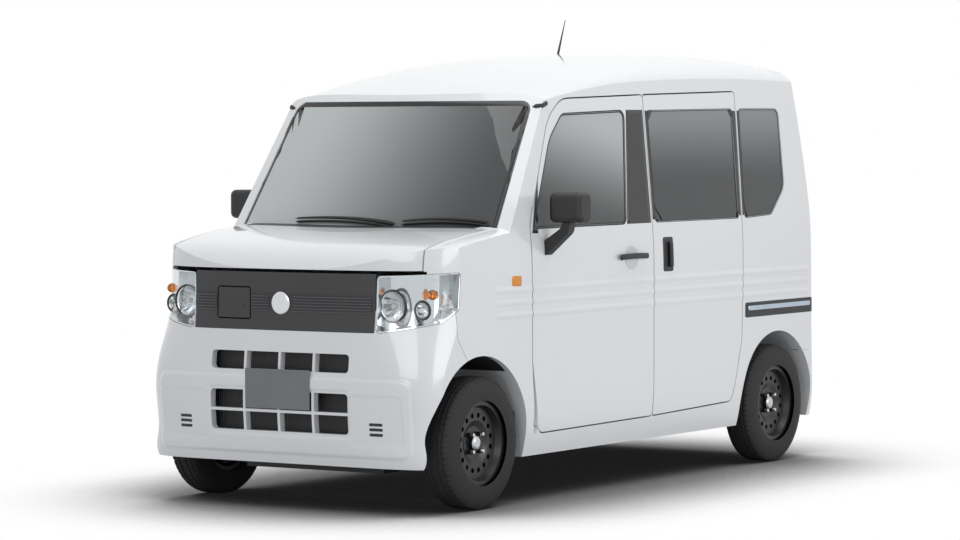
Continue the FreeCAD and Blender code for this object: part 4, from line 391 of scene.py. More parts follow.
# %% From a grid to a piece of the van
def add_surface(name, grid, finish, body, closed=False, wall_mm=0.0, keep=None, flip=False):
    """Grid of points (rows, columns, 3) to quads: corner (i, j) joins (i+1, j), (i+1, j+1) and (i, j+1).

    closed joins the last column to the first; keep is a mask of the quads that stay; wall_mm is a thickness.
    Points that fall together at a pole are merged, and points without a face go.
    """
    rows, columns = grid.shape[:2]
    index = np.arange(rows * columns).reshape(rows, columns)
    if closed:
        index = np.concatenate([index, index[:, :1]], axis=1)
    quads = np.stack([index[:-1, :-1], index[1:, :-1], index[1:, 1:], index[:-1, 1:]], axis=-1)
    if flip:
        quads = quads[..., ::-1]
    quads = quads[keep] if keep is not None else quads.reshape(-1, 4)
    mesh = bpy.data.meshes.new(name)
    mesh.from_pydata(grid.reshape(-1, 3).tolist(), [], quads.reshape(-1, 4).tolist())
    mesh.polygons.foreach_set("use_smooth", np.ones(len(mesh.polygons), bool))
    work = bmesh.new()
    work.from_mesh(mesh)
    bmesh.ops.remove_doubles(work, verts=work.verts, dist=0.01 * MILLIMETRE)
    bmesh.ops.delete(work, geom=[corner for corner in work.verts if not corner.link_faces], context="VERTS")
    work.to_mesh(mesh)
    work.free()
    mesh.materials.append(finish)
    piece = bpy.data.objects.new(name, mesh)
    bpy.context.scene.collection.objects.link(piece)
    if wall_mm:
        wall = piece.modifiers.new("wall", "SOLIDIFY")
        wall.thickness = wall_mm * MILLIMETRE
        wall.offset = -1.0
    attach(piece, body)
    return piece


# %% Dropping points on to panels
def points_of(mesh):
    """All corners of a mesh as an array of rows x, y, z."""
    corners = np.empty(len(mesh.vertices) * 3)
    mesh.vertices.foreach_get("co", corners)
    return corners.reshape(-1, 3)


def skin_of(*names):
    """A search tree over the faces of CAD nodes, for dropping points on to them."""
    corners, faces = [], []
    for name in names:
        mesh = nodes[name].data
        start = len(corners)
        corners.extend(corner.co.copy() for corner in mesh.vertices)
        faces.extend([start + corner for corner in face.vertices] for face in mesh.polygons)
    return BVHTree.FromPolygons(corners, faces)


def drop(points, way, skin, lift_mm):
    """Each point goes back two metres against way, then falls on to the skin and stops lift_mm above it.

    A point that misses goes to the nearest place on the skin. lift_mm is one value or one for each point.
    """
    back = 2.0
    flat = np.asarray(points, float).reshape(-1, 3)
    way = Vector(way).normalized()
    lifts = np.asarray(lift_mm, float) * MILLIMETRE
    lifts = np.broadcast_to(lifts, np.asarray(points).shape[:-1]).reshape(-1)
    landed = np.empty_like(flat)
    for number, (point, lift) in enumerate(zip(flat, lifts)):
        place, normal = skin.ray_cast(Vector(point) - back * way, way, 2 * back)[:2]
        if place is None:
            place, normal = skin.find_nearest(Vector(point))[:2]
        if normal.dot(way) > 0:
            normal = -normal
        landed[number] = place + normal * lift
    return landed.reshape(np.asarray(points).shape)


# %% Flat grids beside and ahead of the van
WALL_Y = 0.72
NOSE_X = 1.6


def span(low, high, count):
    """Evenly spaced values, both ends included."""
    return np.linspace(low, high, count)


def angles(count):
    """Evenly spaced angles of a full turn, the first not repeated at the end."""
    return span(0, 2 * math.pi, count + 1)[:-1]


def mesh_of(first, second):
    """Two rows of values to two grids, the first running down the rows."""
    return np.meshgrid(first, second, indexing="ij")


def beside(x, z, sign):
    """Points with the given x and z, on a flat plane at the left (1) or right (-1) wall."""
    x, z = np.broadcast_arrays(x, z)
    return np.stack([x, np.full_like(x, WALL_Y * sign), z], axis=-1)


def ahead(y, z, x=NOSE_X):
    """Points with the given y and z, on a flat plane across the van."""
    y, z = np.broadcast_arrays(y, z)
    return np.stack([np.full_like(y, x), y, z], axis=-1)


def corner_patch(corners, sign, rows, columns):
    """Bilinear patch: a point is the four corners weighted by its shares of the way along both sides."""
    first, second, third, fourth = (np.array((x, WALL_Y * sign, z)) for x, z in corners)
    along, across = (share[..., None] for share in mesh_of(span(0, 1, rows), span(0, 1, columns)))
    near = first * (1 - across) + second * across
    far = fourth * (1 - across) + third * across
    return near * (1 - along) + far * along


# %% A section carried along a path
def tube(path, width, thickness, sides=10, up=(0, 0, 1)):
    """An ellipse carried along a path: point + cos(a) width across + sin(a) thickness out.

    Across lies in the plane of the path and up. Both sizes may change along the path, and zero closes an end.
    """
    run = np.gradient(path, axis=0)
    run /= np.linalg.norm(run, axis=1, keepdims=True)
    out = np.cross(run, np.asarray(up, float))
    out /= np.linalg.norm(out, axis=1, keepdims=True)
    across = np.cross(out, run)
    angle = angles(sides)
    wide = np.broadcast_to(width, len(path))[:, None, None] * np.cos(angle)[None, :, None]
    thick = np.broadcast_to(thickness, len(path))[:, None, None] * np.sin(angle)[None, :, None]
    return path[:, None] + wide * across[:, None] + thick * out[:, None]


def closed_tube(path, width, thickness, **more):
    """A tube whose ends close: both sizes fall to nearly nothing at the first and the last point."""
    ends = np.ones(len(path))
    ends[[0, -1]] = 0.0005
    return tube(path, width * ends, thickness * ends, **more)


# %% [markdown]
# ## Black masks, seals and the frit
# The dark outline of the glass is not one thing. The windscreen has a black ceramic frit baked on its rim,
# the door glass sits in a rubber seal, and the pillars between the side windows are covered with black tape.
# Each is laid on the real panel, slightly proud of it. A pane's outline is read from its CAD node.

# %% A band round a pane
# Frit is fired on and shines like glass, rubber is dull, and the pillar tape lies between the two.
frit_ink = grained("black_ceramic_frit", "131415", "0D0E0F", 1.2, 60, (0.12, 0.2), 0.01)
seal_rubber = grained("black_seal_rubber", "1A1B1C", "111213", 1.2, 60, (0.5, 0.7), 0.08)
mask_tape = grained("black_pillar_tape", "242628", "1C1D1F", 1.0, 90, (0.25, 0.38), 0.02)
ring_points = 160


def outline_of(name, axes, chosen=None):
    """The rounded outline of a pane: the convex hull of its corners on two axes, as points in order."""
    corners = points_of(nodes[name].data)
    if chosen is not None:
        corners = corners[chosen(corners)]
    flat = [Vector(corner) for corner in np.unique(corners[:, axes].round(5), axis=0)]
    return np.array([flat[number] for number in convex_hull_2d(flat)])


def resampled(outline, grow_mm):
    """Evenly spaced points round a closed outline, moved out at right angles to it by grow_mm."""
    ring = np.vstack([outline, outline[:1]])
    length = np.concatenate([[0], np.cumsum(np.linalg.norm(np.diff(ring, axis=0), axis=1))])
    where = span(0, length[-1], ring_points + 1)[:-1]
    ring = np.stack([np.interp(where, length, ring[:, axis]) for axis in (0, 1)], axis=1)
    run = np.roll(ring, -1, axis=0) - np.roll(ring, 1, axis=0)
    run /= np.linalg.norm(run, axis=1, keepdims=True)
    out = np.stack([run[:, 1], -run[:, 0]], axis=1)
    if ((ring - ring.mean(axis=0)) * out).sum() < 0:
        out = -out
    return ring + out * grow_mm * MILLIMETRE


def lay_ring(name, pane, axes, way, body, finish, reach_mm, skin, lift_mm, chosen=None):
    """A band round a pane, laid on the skin: reach_mm is how far it goes inside and outside the outline."""
    outline = outline_of(pane, axes, chosen)
    inner_mm, outer_mm = reach_mm
    loops = [resampled(outline, grow) for grow in span(-inner_mm, outer_mm, 4)]
    band = np.zeros((len(loops), ring_points, 3))
    band[:, :, axes] = np.stack(loops)
    fixed = ({0, 1, 2} - set(axes)).pop()
    low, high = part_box(pane)
    band[:, :, fixed] = (low[fixed] + high[fixed]) / 2
    edge_lifts = np.array([0.2, lift_mm, lift_mm, 0.1])[:, None] * np.ones((1, ring_points))
    add_surface(name, drop(band, way, skin, edge_lifts), finish, body, closed=True)


# %% Frit and window seals
slide_window_end = -0.965
window_skin = skin_of("side_glass", "sliding_doors", "side_frames")
lay_ring("windscreen_frit", "windscreen", [1, 2], (-1, 0, 0), "van_body", frit_ink, (22, 0),
         skin_of("windscreen"), 0.6)
for side, sign in SIDES:
    door, inward = "door_" + side, (0, -sign, 0)
    lay_ring("door_seal_" + side, "door_glass_" + side, [0, 2], inward, door, seal_rubber, (5, 7),
             skin_of(door, "door_glass_" + side), 2.0)
    for place, along in (("front", 1), ("rear", -1)):
        def one_window(corners, along=along, sign=sign):
            return (corners[:, 0] * along > slide_window_end * along) & (corners[:, 1] * sign > 0)
        lay_ring("side_seal_" + place + "_" + side, "side_glass", [0, 2], inward, "van_body", seal_rubber,
                 (3, 5), window_skin, 1.2, one_window)
lay_ring("tailgate_frit", "tailgate_glass", [1, 2], (1, 0, 0), "tailgate", frit_ink, (30, 1),
         skin_of("tailgate_glass", "tailgate"), 0.6)

# %% Pillar tapes and the mirror patches
tape_lift_mm, tape_wall_mm = 0.7, 0.6
TAPES = (
    ("pillar_tape_", "door_", 24, 10, ((0.080, 1.158), (-0.126, 1.158), (-0.148, 1.660), (-0.006, 1.660))),
    ("mirror_patch_", "door_", 16, 5, ((0.815, 1.137), (0.862, 1.139), (0.779, 1.386), (0.775, 1.386))),
    ("slide_tape_front_", "sliding_doors", 24, 6,
     ((-0.144, 1.172), (-0.235, 1.172), (-0.235, 1.657), (-0.168, 1.657))),
    ("slide_tape_rear_", "sliding_doors", 24, 6,
     ((-0.905, 1.172), (-0.947, 1.172), (-0.990, 1.657), (-0.93, 1.657))),
    ("quarter_tape_", "side_frames", 24, 6,
     ((-0.962, 1.172), (-1.02, 1.172), (-1.03, 1.657), (-1.006, 1.657))))
for side, sign in SIDES:
    for name, panel, rows, columns, corners in TAPES:
        on_door = panel == "door_"
        panel_name = panel + side if on_door else panel
        tape = corner_patch(corners, sign, rows, columns)
        tape = drop(tape, (0, -sign, 0), skin_of(panel_name), tape_lift_mm)
        add_surface(name + side, tape, mask_tape, panel_name if on_door else "van_body",
                    wall_mm=tape_wall_mm, flip=sign > 0)
print("tapes", 2 * len(TAPES))

# %% [markdown]
# ## Tyres with a road tread
# A van tyre is a round shoulder over a flat tread, with four grooves round it and short slots across the
# shoulders. The section is a profile turned about the axle, and the depth of the grooves is a formula of the
# place across the tread and the angle round it.

# %% Tyres
WHEEL_Y, WHEEL_Z = 0.655, 0.278
tyre_radius, rim_radius, tyre_half_width = 0.278, 0.1775, 0.0725
tread_half, crown_fall, groove_depth = 0.052, 0.004, 0.007
tread_share = 0.72
inner_groove, outer_groove, slot_start = 0.018, 0.041, 0.043
blocks_round = 68


def tyre_surface(centre):
    """Section from bead to bead by a share from -1 to 1, turned about the axle.

    Within tread_share the radius is the crown less the fourth power of the place across. Beyond it the wall
    bulges by a sine while the radius falls by a power. Grooves are fourth-power bells across the tyre, slots
    and sipes are where a cosine of the angle is high, and the foot of the tread is flat on the ground.
    """
    share = np.concatenate([span(-1, -0.74, 10), span(-tread_share, tread_share, 58), span(0.74, 1, 10)])
    angle = angles(360)
    across = np.clip(share / tread_share, -1, 1) * tread_half
    crown = tyre_radius - crown_fall * (across / tread_half) ** 4
    wall = np.clip((np.abs(share) - tread_share) / (1 - tread_share), 0, 1)
    bulge = np.sin(wall * math.pi * 0.62) ** 0.8
    walled = tread_half + (tyre_half_width - tread_half) * bulge
    place = np.sign(share) * np.where(wall > 0, walled, np.abs(across))
    radius = np.where(wall > 0, crown - (tyre_radius - rim_radius - crown_fall) * wall ** 1.35, crown)
    off = np.abs(place)
    rings = np.exp(-((off - inner_groove) / 0.0028) ** 4) + np.exp(-((off - outer_groove) / 0.0022) ** 4)
    slots = (np.cos(angle * blocks_round)[None] > 0.72) * ((off > slot_start) & (wall < 0.25))[:, None]
    sipes = np.cos(angle * blocks_round + 30 * place[:, None]) > 0.86
    sipes = sipes * ((off < outer_groove) & (wall == 0))[:, None]
    ribs = 0.6 * MILLIMETRE * (np.abs(wall - 0.42) < 0.03)
    cut = np.clip(rings[:, None] + 0.8 * slots + 0.45 * sipes, 0, 1) * (wall < 0.3)[:, None]
    reach = radius[:, None] - groove_depth * cut
    grid = np.empty((len(share), len(angle), 3))
    grid[..., 0] = centre[0] + reach * np.cos(angle)
    grid[..., 1] = centre[1] + (place + np.sign(place) * ribs)[:, None]
    grid[..., 2] = np.maximum(centre[2] + reach * np.sin(angle), 0.0)
    return grid


for axle, axle_x in AXLES:
    for side, sign in SIDES:
        wheel = axle + "_" + side
        tread = tyre_surface((axle_x, sign * WHEEL_Y, WHEEL_Z))
        tyre = add_surface("tread_tyre_" + wheel, tread, tyre_rubber, "wheel_" + wheel, closed=True,
                           flip=True)
        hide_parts("tyre_" + wheel)
print("tyres", len(WHEELS), "faces each", len(tyre.data.polygons))

# %% [markdown]
# ## Hub caps and wheel nuts
# A plated cap covers the bearing and four plated nuts hold the wheel. Both stand on the rim's disc, and a ray
# dropped on to the rim says how deep in the wheel that is.

# %% Caps and nuts
seat_depth_mm = 0.5
cap_radius, cap_height_mm = 0.031, 9
nut_ring, nut_radius, nut_height_mm, nut_count = 0.050, 0.0105, 15, 4


def disc_on(centre, radius, height_mm, way, skin, corners=0, flat=0.45, rings=9, sides=30):
    """A raised disc on the skin: its top is flat, then falls to the rim by a quarter ellipse.

    corners makes it many-sided: the reach is the apothem over the cosine of the turn from each side's middle.
    """
    share, angle = mesh_of(span(0, 1, rings), angles(sides))
    reach = share * radius
    if corners:
        turn = np.mod(angle, 2 * math.pi / corners) - math.pi / corners
        reach = reach * math.cos(math.pi / corners) / np.cos(turn)
    depth_axis = int(np.argmax(np.abs(way)))
    first, second = (axis for axis in (0, 1, 2) if axis != depth_axis)
    points = np.zeros((rings, sides, 3)) + np.array(centre)
    points[..., first] += reach * np.cos(angle)
    points[..., second] += reach * np.sin(angle)
    fall = np.sqrt(np.clip(1 - np.clip((share - flat) / (1 - flat), 0, 1) ** 2, 0, 1))
    foot = drop(np.array([centre]), way, skin, 0.0)[0][depth_axis]
    rise = (fall * height_mm - seat_depth_mm) * MILLIMETRE
    points[..., depth_axis] = foot - np.sign(way[depth_axis]) * rise
    return points


for axle, axle_x in AXLES:
    for side, sign in SIDES:
        wheel = axle + "_" + side
        inward = (0, -sign, 0)
        rim_skin = skin_of("rim_" + wheel)
        cap = disc_on((axle_x, sign * WHEEL_Y, WHEEL_Z), cap_radius, cap_height_mm, inward, rim_skin)
        add_surface("hub_cap_" + wheel, cap, plated_steel, "wheel_" + wheel, closed=True,
                    flip=sign > 0)
        for number in range(nut_count):
            turn = math.pi / nut_count + number * 2 * math.pi / nut_count
            place = (axle_x + nut_ring * math.cos(turn), sign * WHEEL_Y, WHEEL_Z + nut_ring * math.sin(turn))
            nut = disc_on(place, nut_radius, nut_height_mm, inward, rim_skin, corners=6, flat=0.75, sides=24)
            add_surface("wheel_nut_" + wheel + "_" + str(number), nut, plated_steel, "wheel_" + wheel,
                        closed=True, flip=sign > 0)
print("nuts", nut_count * len(WHEELS))

# %% [markdown]
# ## The bumper's shield, pads and slots
# A raised shield is moulded into the bumper's middle and corners, with a flat pad where a fog lamp would go
# and three drain slots in each pad, drawn as black patches: painted shade of the open slots. Relief is a height
# over a flat grid that is dropped on to the bumper.

# %% Heights over a flat grid
def step_up(distance, width):
    """0 outside, 1 a width inside the edge, and between them 3t squared less 2t cubed."""
    share = np.clip(distance / width, 0, 1)
    return share * share * (3 - 2 * share)


def inside(across, up, half_width, low, high, corner, middle=0.0):
    """How far a point lies inside a rectangle with rounded corners."""
    dx = np.abs(across - middle) - (half_width - corner)
    dz = np.abs(up - (low + high) / 2) - ((high - low) / 2 - corner)
    outside = np.hypot(np.maximum(dx, 0), np.maximum(dz, 0))
    return corner - outside - np.minimum(np.maximum(dx, dz), 0)


# %% Bumper shield
bumper_skin = skin_of("front_bumper")
to_rear = (-1, 0, 0)
opening_rim = (0.352, 0.322, 0.502, 0.012)
shield_rise_mm, pad_sink_mm, shield_float_mm = 5.5, 3.0, 0.4
shield_y, shield_z = mesh_of(span(-0.652, 0.652, 300), span(0.228, 0.566, 84))
relief = shield_rise_mm * step_up(inside(shield_y, shield_z, 0.650, 0.230, 0.564, 0.045), 0.016)
relief = relief * step_up(-inside(shield_y, shield_z, *opening_rim) - 0.002, 0.014)
pads = inside(np.abs(shield_y), shield_z, 0.128, 0.280, 0.497, 0.03, middle=0.484)
relief = relief - pad_sink_mm * step_up(pads, 0.008) + shield_float_mm
face_y, face_z = ((values[:-1, :-1] + values[1:, 1:]) / 2 for values in (shield_y, shield_z))
solid_part = inside(face_y, face_z, *opening_rim) < -0.001
shield_face = drop(ahead(shield_y, shield_z), to_rear, bumper_skin, relief)
shield = add_surface("bumper_shield", shield_face, bumper_enamel, "van_body", keep=solid_part)
print("shield faces", len(shield.data.polygons))

# %% Drain slots
shield_skin = BVHTree.FromObject(shield, bpy.context.evaluated_depsgraph_get())
slot_low, slot_pitch, slot_high = 0.328, 0.0205, 0.0135
for side, sign in SIDES:
    for number in range(3):
        low = slot_low + number * slot_pitch
        y, z = mesh_of(span(0.455, 0.521, 24) * sign, span(low, low + slot_high, 8))
        rounded = inside(np.abs(y), z, 0.033, low, low + slot_high, 0.006, middle=0.488)
        # Each slot is a black patch on the shield: painted shade where the slot opens into the bumper.
        slot_shade_patch = drop(ahead(y, z), to_rear, shield_skin, 0.5 - 1.2 * (rounded < 0))
        add_surface("bumper_slot_shade_" + side + "_" + str(number), slot_shade_patch, black_moulding, "van_body",
                    flip=sign < 0)

# %% Radiator core behind the bumper's openings
core_x, fin_depth, fin_pitch = 1.607, 0.003, 0.005
core_y, core_z = mesh_of(span(-0.40, 0.40, 321), span(0.30, 0.70, 60))
fins = fin_depth * np.abs(np.mod(core_y / fin_pitch, 2) - 1)
add_surface("radiator_core", ahead(core_y, core_z, core_x + fins), black_moulding, "van_body",
            wall_mm=8)

# %% [markdown]
# ## Grille ribs, disc and the lid's latch
# Six fine ribs run across the dark panel on both sides of a round disc. Each is a half-round moulding, made as
# an ellipse carried along a line that lies on the panel.

# %% Grille
panel_skin = skin_of("grille_panel")
rib_width, rib_height, rib_points = 0.0030, 0.0028, 40
for number, height in enumerate(span(0.829, 0.889, 6)):
    for name, start, end in (("right", -0.452, -0.338), ("middle", -0.150, -0.060), ("left", 0.060, 0.450)):
        line = drop(ahead(span(start, end, rib_points), height), to_rear, panel_skin, 0.4)
        rib = closed_tube(line, rib_width, rib_height)
        add_surface("grille_rib_" + name + "_" + str(number), rib, port_plastic, "van_body",
                    closed=True)
disc = disc_on((NOSE_X, 0.0, 0.862), 0.047, 5, to_rear, panel_skin, flat=0.7, rings=14, sides=48)
add_surface("grille_disc", disc, satin_chrome, "van_body", closed=True)
latch = disc_on((NOSE_X, -0.195, 0.852), 0.006, 2, to_rear, skin_of("charge_lid", "grille_panel"), flat=0.6,
                sides=20)
add_surface("lid_latch", latch, black_moulding, "charge_lid", closed=True)

# %% [markdown]
# ## Headlamps
# Behind the clear lens stand a deep faceted dish with its bulb, a smaller dish, and an amber bulb at the
# corner. A dish is a parabola turned about its own axis, and its facets are a small ripple round it.

# %% Headlamp dishes and bulbs
bulb_glass = grained("frosted_bulb_glass", "F4F2EC", "EAE7DE", 1.0, 12, (0.1, 0.2), 0.01)
lamp_black = grained("black_lamp_bezel", "232425", "191A1B", 1.5, 40, (0.25, 0.4), 0.02)
DISHES = (("main", (1.612, 0.528, 0.858), 0.062, 0.05), ("side", (1.560, 0.640, 0.842), 0.034, 0.03))
BULBS = (("main_bulb", (1.60, 0.528, 0.858), 0.013, bulb_glass),
         ("amber_bulb", (1.535, 0.672, 0.905), 0.021, amber_glass))
bezel_gap, bulb_stretch, facets = 0.003, 1.3, 18


def dish_surface(x, y, z, radius, depth):
    """A parabola turned about the x axis: x falls by depth times one less the squared share of the radius."""
    share, angle = mesh_of(span(0.02, 1, 16), angles(108))
    ripple = 1 + 0.03 * np.abs(np.sin(angle * facets / 2)) * share
    return ahead(y + share * radius * np.cos(angle), z + share * radius * np.sin(angle),
                 x - depth * (1 - share ** 2) * ripple)


def bulb_surface(x, y, z, radius):
    """A ball drawn out along x: the polar angle runs down the rows, the turn about x along the columns."""
    polar, turn = mesh_of(span(0, math.pi, 15), angles(24))
    return ahead(y + radius * np.sin(polar) * np.cos(turn), z + radius * np.sin(polar) * np.sin(turn),
                 x + bulb_stretch * radius * np.cos(polar))


for side, sign in SIDES:
    for name, (x, y, z), radius, depth in DISHES:
        dish = dish_surface(x, sign * y, z, radius, depth)
        add_surface("lamp_dish_" + name + "_" + side, dish, chrome_reflector, "van_body",
                    closed=True, wall_mm=1.2, flip=True)
        turn, ring = span(0, 2 * math.pi, 61), radius + bezel_gap
        circle = ahead(sign * y + ring * np.cos(turn), z + ring * np.sin(turn), x + 0.002)
        add_surface("lamp_bezel_" + name + "_" + side, tube(circle, 0.004, 0.005, up=(1, 0, 0)), lamp_black,
                    "van_body", closed=True)
    for name, (x, y, z), radius, finish in BULBS:
        bulb = bulb_surface(x, sign * y, z, radius)
        add_surface("lamp_" + name + "_" + side, bulb, finish, "van_body", closed=True)

# %% [markdown]
# ## Wipers
# Two arms rest at the foot of the windscreen, each a flat steel strip over a rubber blade. A blade's line is a
# curve of three points, dropped on to the glass, so it bends with it.

# %% Wipers
screen_skin = skin_of("windscreen")
wiper_black = grained("black_painted_wiper_steel", "1C1D1E", "131415", 1.5, 60, (0.35, 0.5), 0.02)
WIPERS = (((-0.330, 1.178), (-0.02, 1.196), (0.215, 1.160)), ((0.235, 1.172), (0.430, 1.196), (0.630, 1.172)))
wiper_points, arm_rise = 30, 0.010
blade_lift_mm, arm_lift_mm = 7, 15
share, taper = span(0, 1, wiper_points)[:, None], span(0.004, 0.010, wiper_points)
for number, curve in enumerate(WIPERS):
    start, knee, end = (np.array(point) for point in curve)
    line = (1 - share) ** 2 * start + 2 * share * (1 - share) * knee + share ** 2 * end
    blade = drop(ahead(line[:, 0], line[:, 1], 1.1), to_rear, screen_skin, blade_lift_mm)
    blade = closed_tube(blade, 0.005, 0.006)
    add_surface("wiper_blade_" + str(number), blade, seal_rubber, "van_body", closed=True)
    arm = drop(ahead(line[:, 0], line[:, 1] + arm_rise, 1.1), to_rear, screen_skin, arm_lift_mm)
    arm = closed_tube(arm, taper, taper * 0.5)
    add_surface("wiper_arm_" + str(number), arm, wiper_black, "van_body", closed=True)

# %% [markdown]
# ## Handles, repeaters and the slide rail
# The front door has a round finger cup with a bar across it, the sliding door a black upright cup, and a
# channel for the sliding door's roller runs along the rear panel in a black frame.

# %% Handles, rail and repeaters
# The paint in the finger cup is drawn darker than the body's: a painted shade of the recess.
# The repeater's acrylic is dyed through and shines like glass.
cup_enamel_painted_shade = grained("white_enamel_with_painted_cup_shade", "D4D7DB", "CBCED3", 9, 90, (0.3, 0.4), 0.02,
                     **{"Coat Weight": 1.0})
amber_lens = grained("amber_acrylic_lens", "F09A28", "E68A18", 2.0, 40, (0.08, 0.14), 0.02)
bar_points, grip_points, rail_points = 40, 24, 60
slide_skin, wing_skin = skin_of("sliding_doors"), skin_of("wings")
frame_skin = skin_of("side_frames", "sliding_doors", "rear_bumper")


def front_handle(side, sign, inward):
    """A dished cup in the door, and a bar that bows out over it."""
    door = "door_" + side
    door_skin = skin_of(door)
    share, angle = mesh_of(span(0, 1, 12), angles(48))
    cup = beside(0.058 + 0.060 * share * np.cos(angle), 1.010 + 0.052 * share * np.sin(angle), sign)
    cup_lift = 0.4 + 2.6 * np.clip(share * 1.4 - 0.4, 0, 1) ** 2 - 2.6 * (share > 0.99)
    # The cup's enamel is darker than the door's: painted shade of the recess.
    add_surface("handle_cup_" + side, drop(cup, inward, door_skin, cup_lift), cup_enamel_painted_shade, door,
                closed=True, flip=sign > 0)
    bow = beside(span(0.176, -0.062, bar_points), 1.013 + 0.003 * np.cos(span(-1.5, 1.5, bar_points)), sign)
    bow = drop(bow, inward, door_skin, 6 + 17 * np.cos(span(-1.35, 1.35, bar_points)) ** 0.5)
    bar = closed_tube(bow, 0.0125, 0.007, sides=14)
    add_surface("handle_bar_" + side, bar, black_moulding, door, closed=True)


def slide_handle(side, sign, inward):
    """A sunk upright cup with a rounded rim, and the grip that stands in it."""
    x, z = mesh_of(span(-0.217, -0.307, 14), span(0.937, 1.091, 24))
    rounded = inside(x, z, 0.045, 0.937, 1.091, 0.012, middle=-0.262)
    cup = drop(beside(x, z, sign), inward, slide_skin, np.clip(rounded / 0.006, -0.6, 1) * 2.0)
    add_surface("slide_cup_" + side, cup, black_moulding, "van_body", flip=sign > 0)
    line = drop(beside(-0.272, span(0.955, 1.072, grip_points), sign), inward, slide_skin, 10)
    grip = closed_tube(line, 0.013, 0.010, up=(1, 0, 0))
    add_surface("slide_grip_" + side, grip, black_moulding, "van_body", closed=True)


def slide_rail(side, sign, inward):
    """A black frame on the rear panel, with the bright channel of the roller along its middle."""
    x, z = mesh_of(span(-0.965, -1.628, rail_points), span(0.695, 0.765, 16))
    rounded = inside(x, z, 0.3315, 0.695, 0.765, 0.008, middle=-1.2965)
    bed = drop(beside(x, z, sign), inward, frame_skin, np.clip(rounded / 0.004, -0.6, 1) * 2.0)
    add_surface("rail_frame_" + side, bed, black_moulding, "van_body", flip=sign > 0)
    line = drop(beside(span(-0.985, -1.598, rail_points), 0.738, sign), inward, frame_skin, 3)
    rail = closed_tube(line, 0.012, 0.004)
    add_surface("rail_channel_" + side, rail, rail_steel, "van_body", closed=True)


def repeater(side, sign, inward):
    """A small amber lamp on the wing, with a rounded rim."""
    x, z = mesh_of(span(0.958, 1.033, 18), span(0.921, 0.963, 12))
    rounded = inside(x, z, 0.0375, 0.921, 0.963, 0.008, middle=0.9955)
    marker = drop(beside(x, z, sign), inward, wing_skin, np.clip(rounded / 0.006, -0.3, 1) * 5.0)
    add_surface("repeater_" + side, marker, amber_lens, "van_body", flip=sign < 0)


for side, sign in SIDES:
    for fitting in (front_handle, slide_handle, slide_rail, repeater):
        fitting(side, sign, (0, -sign, 0))

# %% Gutter clips and mirror glass
clip_points = 12
pillar_skin = skin_of("side_frames", "wings")
for side, sign in SIDES:
    clip_line = np.stack([span(0.700, 0.640, clip_points), np.full(clip_points, 0.66 * sign),
                          span(1.672, 1.690, clip_points)], axis=-1)
    clip = closed_tube(drop(clip_line, (0, -sign, 0), pillar_skin, 2), 0.010, 0.005)
    add_surface("gutter_clip_" + side, clip, black_moulding, "van_body", closed=True)
    y, z = mesh_of(span(0.785, 0.910, 16) * sign, span(1.197, 1.295, 12))
    rounded = inside(np.abs(y), z, 0.0625, 1.197, 1.295, 0.014, middle=0.8475)
    pane_lift = np.clip(rounded / 0.004, -0.4, 1) * 0.8
    pane = drop(ahead(y, z, 0.75), (1, 0, 0), skin_of("mirror_" + side), pane_lift)
    add_surface("mirror_glass_" + side, pane, silvered_glass, "door_" + side, flip=sign > 0)

# %% [markdown]
# ## Padded seats
# A seat is foam under a sewn cover, so its sides are full and its edges are soft. The CAD solid is remeshed
# into even cells and blown up a little with the cloth solver, and no point may move further than the cap. The
# sewn channels come after that, because the remesh would wipe them out.

# %% Blowing up a pad
swell_cap, cell, start_share = 0.010, 0.009, 0.975
seam_reach, seam_width, seam_depth = 0.150, 0.006, 0.006
last_frame = 20


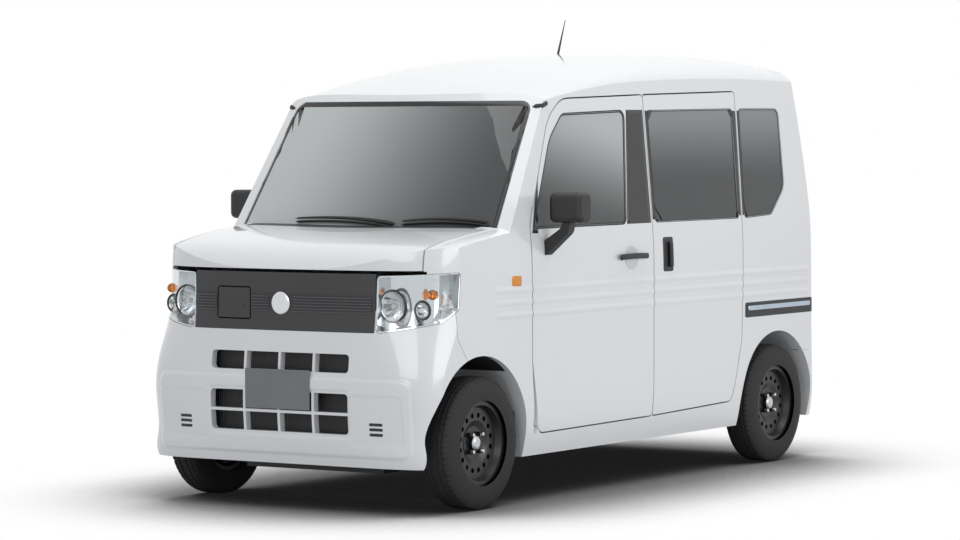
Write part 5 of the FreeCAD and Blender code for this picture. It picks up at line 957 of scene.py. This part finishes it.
def half_solid(node_name, sign):
    """One of a node's two solids, on the given side of the middle, drawn in towards its own centre."""
    work = bmesh.new()
    work.from_mesh(nodes[node_name].data)
    bmesh.ops.remove_doubles(work, verts=work.verts, dist=0.1 * MILLIMETRE)
    bmesh.ops.delete(work, geom=[corner for corner in work.verts if corner.co.y * sign < 0], context="VERTS")
    middle = sum((corner.co for corner in work.verts), Vector()) / len(work.verts)
    for corner in work.verts:
        corner.co = middle + (corner.co - middle) * start_share
    mesh = bpy.data.meshes.new("pad")
    work.to_mesh(mesh)
    work.free()
    return mesh


def blown_up(pad):
    """The pad's corners after 20 frames of cloth under pressure, without gravity; the solver is taken off."""
    fill = pad.modifiers.new("fill", "CLOTH")
    fill.settings.use_pressure = True
    fill.settings.uniform_pressure_force = 4
    fill.settings.effector_weights.gravity = 0
    fill.point_cache.frame_end = last_frame
    for step in range(1, last_frame + 1):
        bpy.context.scene.frame_set(step)
    corners = points_of(pad.evaluated_get(bpy.context.evaluated_depsgraph_get()).data)
    pad.modifiers.clear()
    bpy.context.scene.frame_set(1)
    return corners


def sewn(corners, way):
    """Two channels along the pad: bells of the place across it, sunk towards its middle on the given axis."""
    seat_middle = (corners[:, 1].max() + corners[:, 1].min()) / 2
    channel = np.exp(-((np.abs(corners[:, 1] - seat_middle) - seam_reach) / seam_width) ** 2)
    sewn_in = corners.copy()
    sewn_in[:, way] -= seam_depth * channel * np.sign(corners[:, way] - corners[:, way].mean())
    return sewn_in


# %% Seats
pads = []
for node_name, way in (("seat_cushions", 2), ("seat_backs", 0)):
    for side, sign in SIDES:
        pad = bpy.data.objects.new("padded_" + node_name[:-1] + "_" + side, half_solid(node_name, sign))
        bpy.context.scene.collection.objects.link(pad)
        cells = pad.modifiers.new("cells", "REMESH")
        cells.mode, cells.voxel_size = "VOXEL", cell
        even = bpy.data.meshes.new_from_object(pad.evaluated_get(bpy.context.evaluated_depsgraph_get()))
        pad.modifiers.clear()
        pad.data = even
        start = points_of(even)
        moved = blown_up(pad) - start
        length = np.maximum(np.linalg.norm(moved, axis=1, keepdims=True), 1e-9)
        capped = start + moved * np.minimum(1, swell_cap / length)
        even.vertices.foreach_set("co", sewn(capped, way).reshape(-1))
        even.polygons.foreach_set("use_smooth", np.ones(len(even.polygons), bool))
        even.update()
        even.materials.clear()
        even.materials.append(seat_weave)
        finer = pad.modifiers.new("finer", "SUBSURF")
        finer.levels = finer.render_levels = 1
        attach(pad, "van_body")
        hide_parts(node_name)
        pads.append(pad.name)
print("pads", pads)
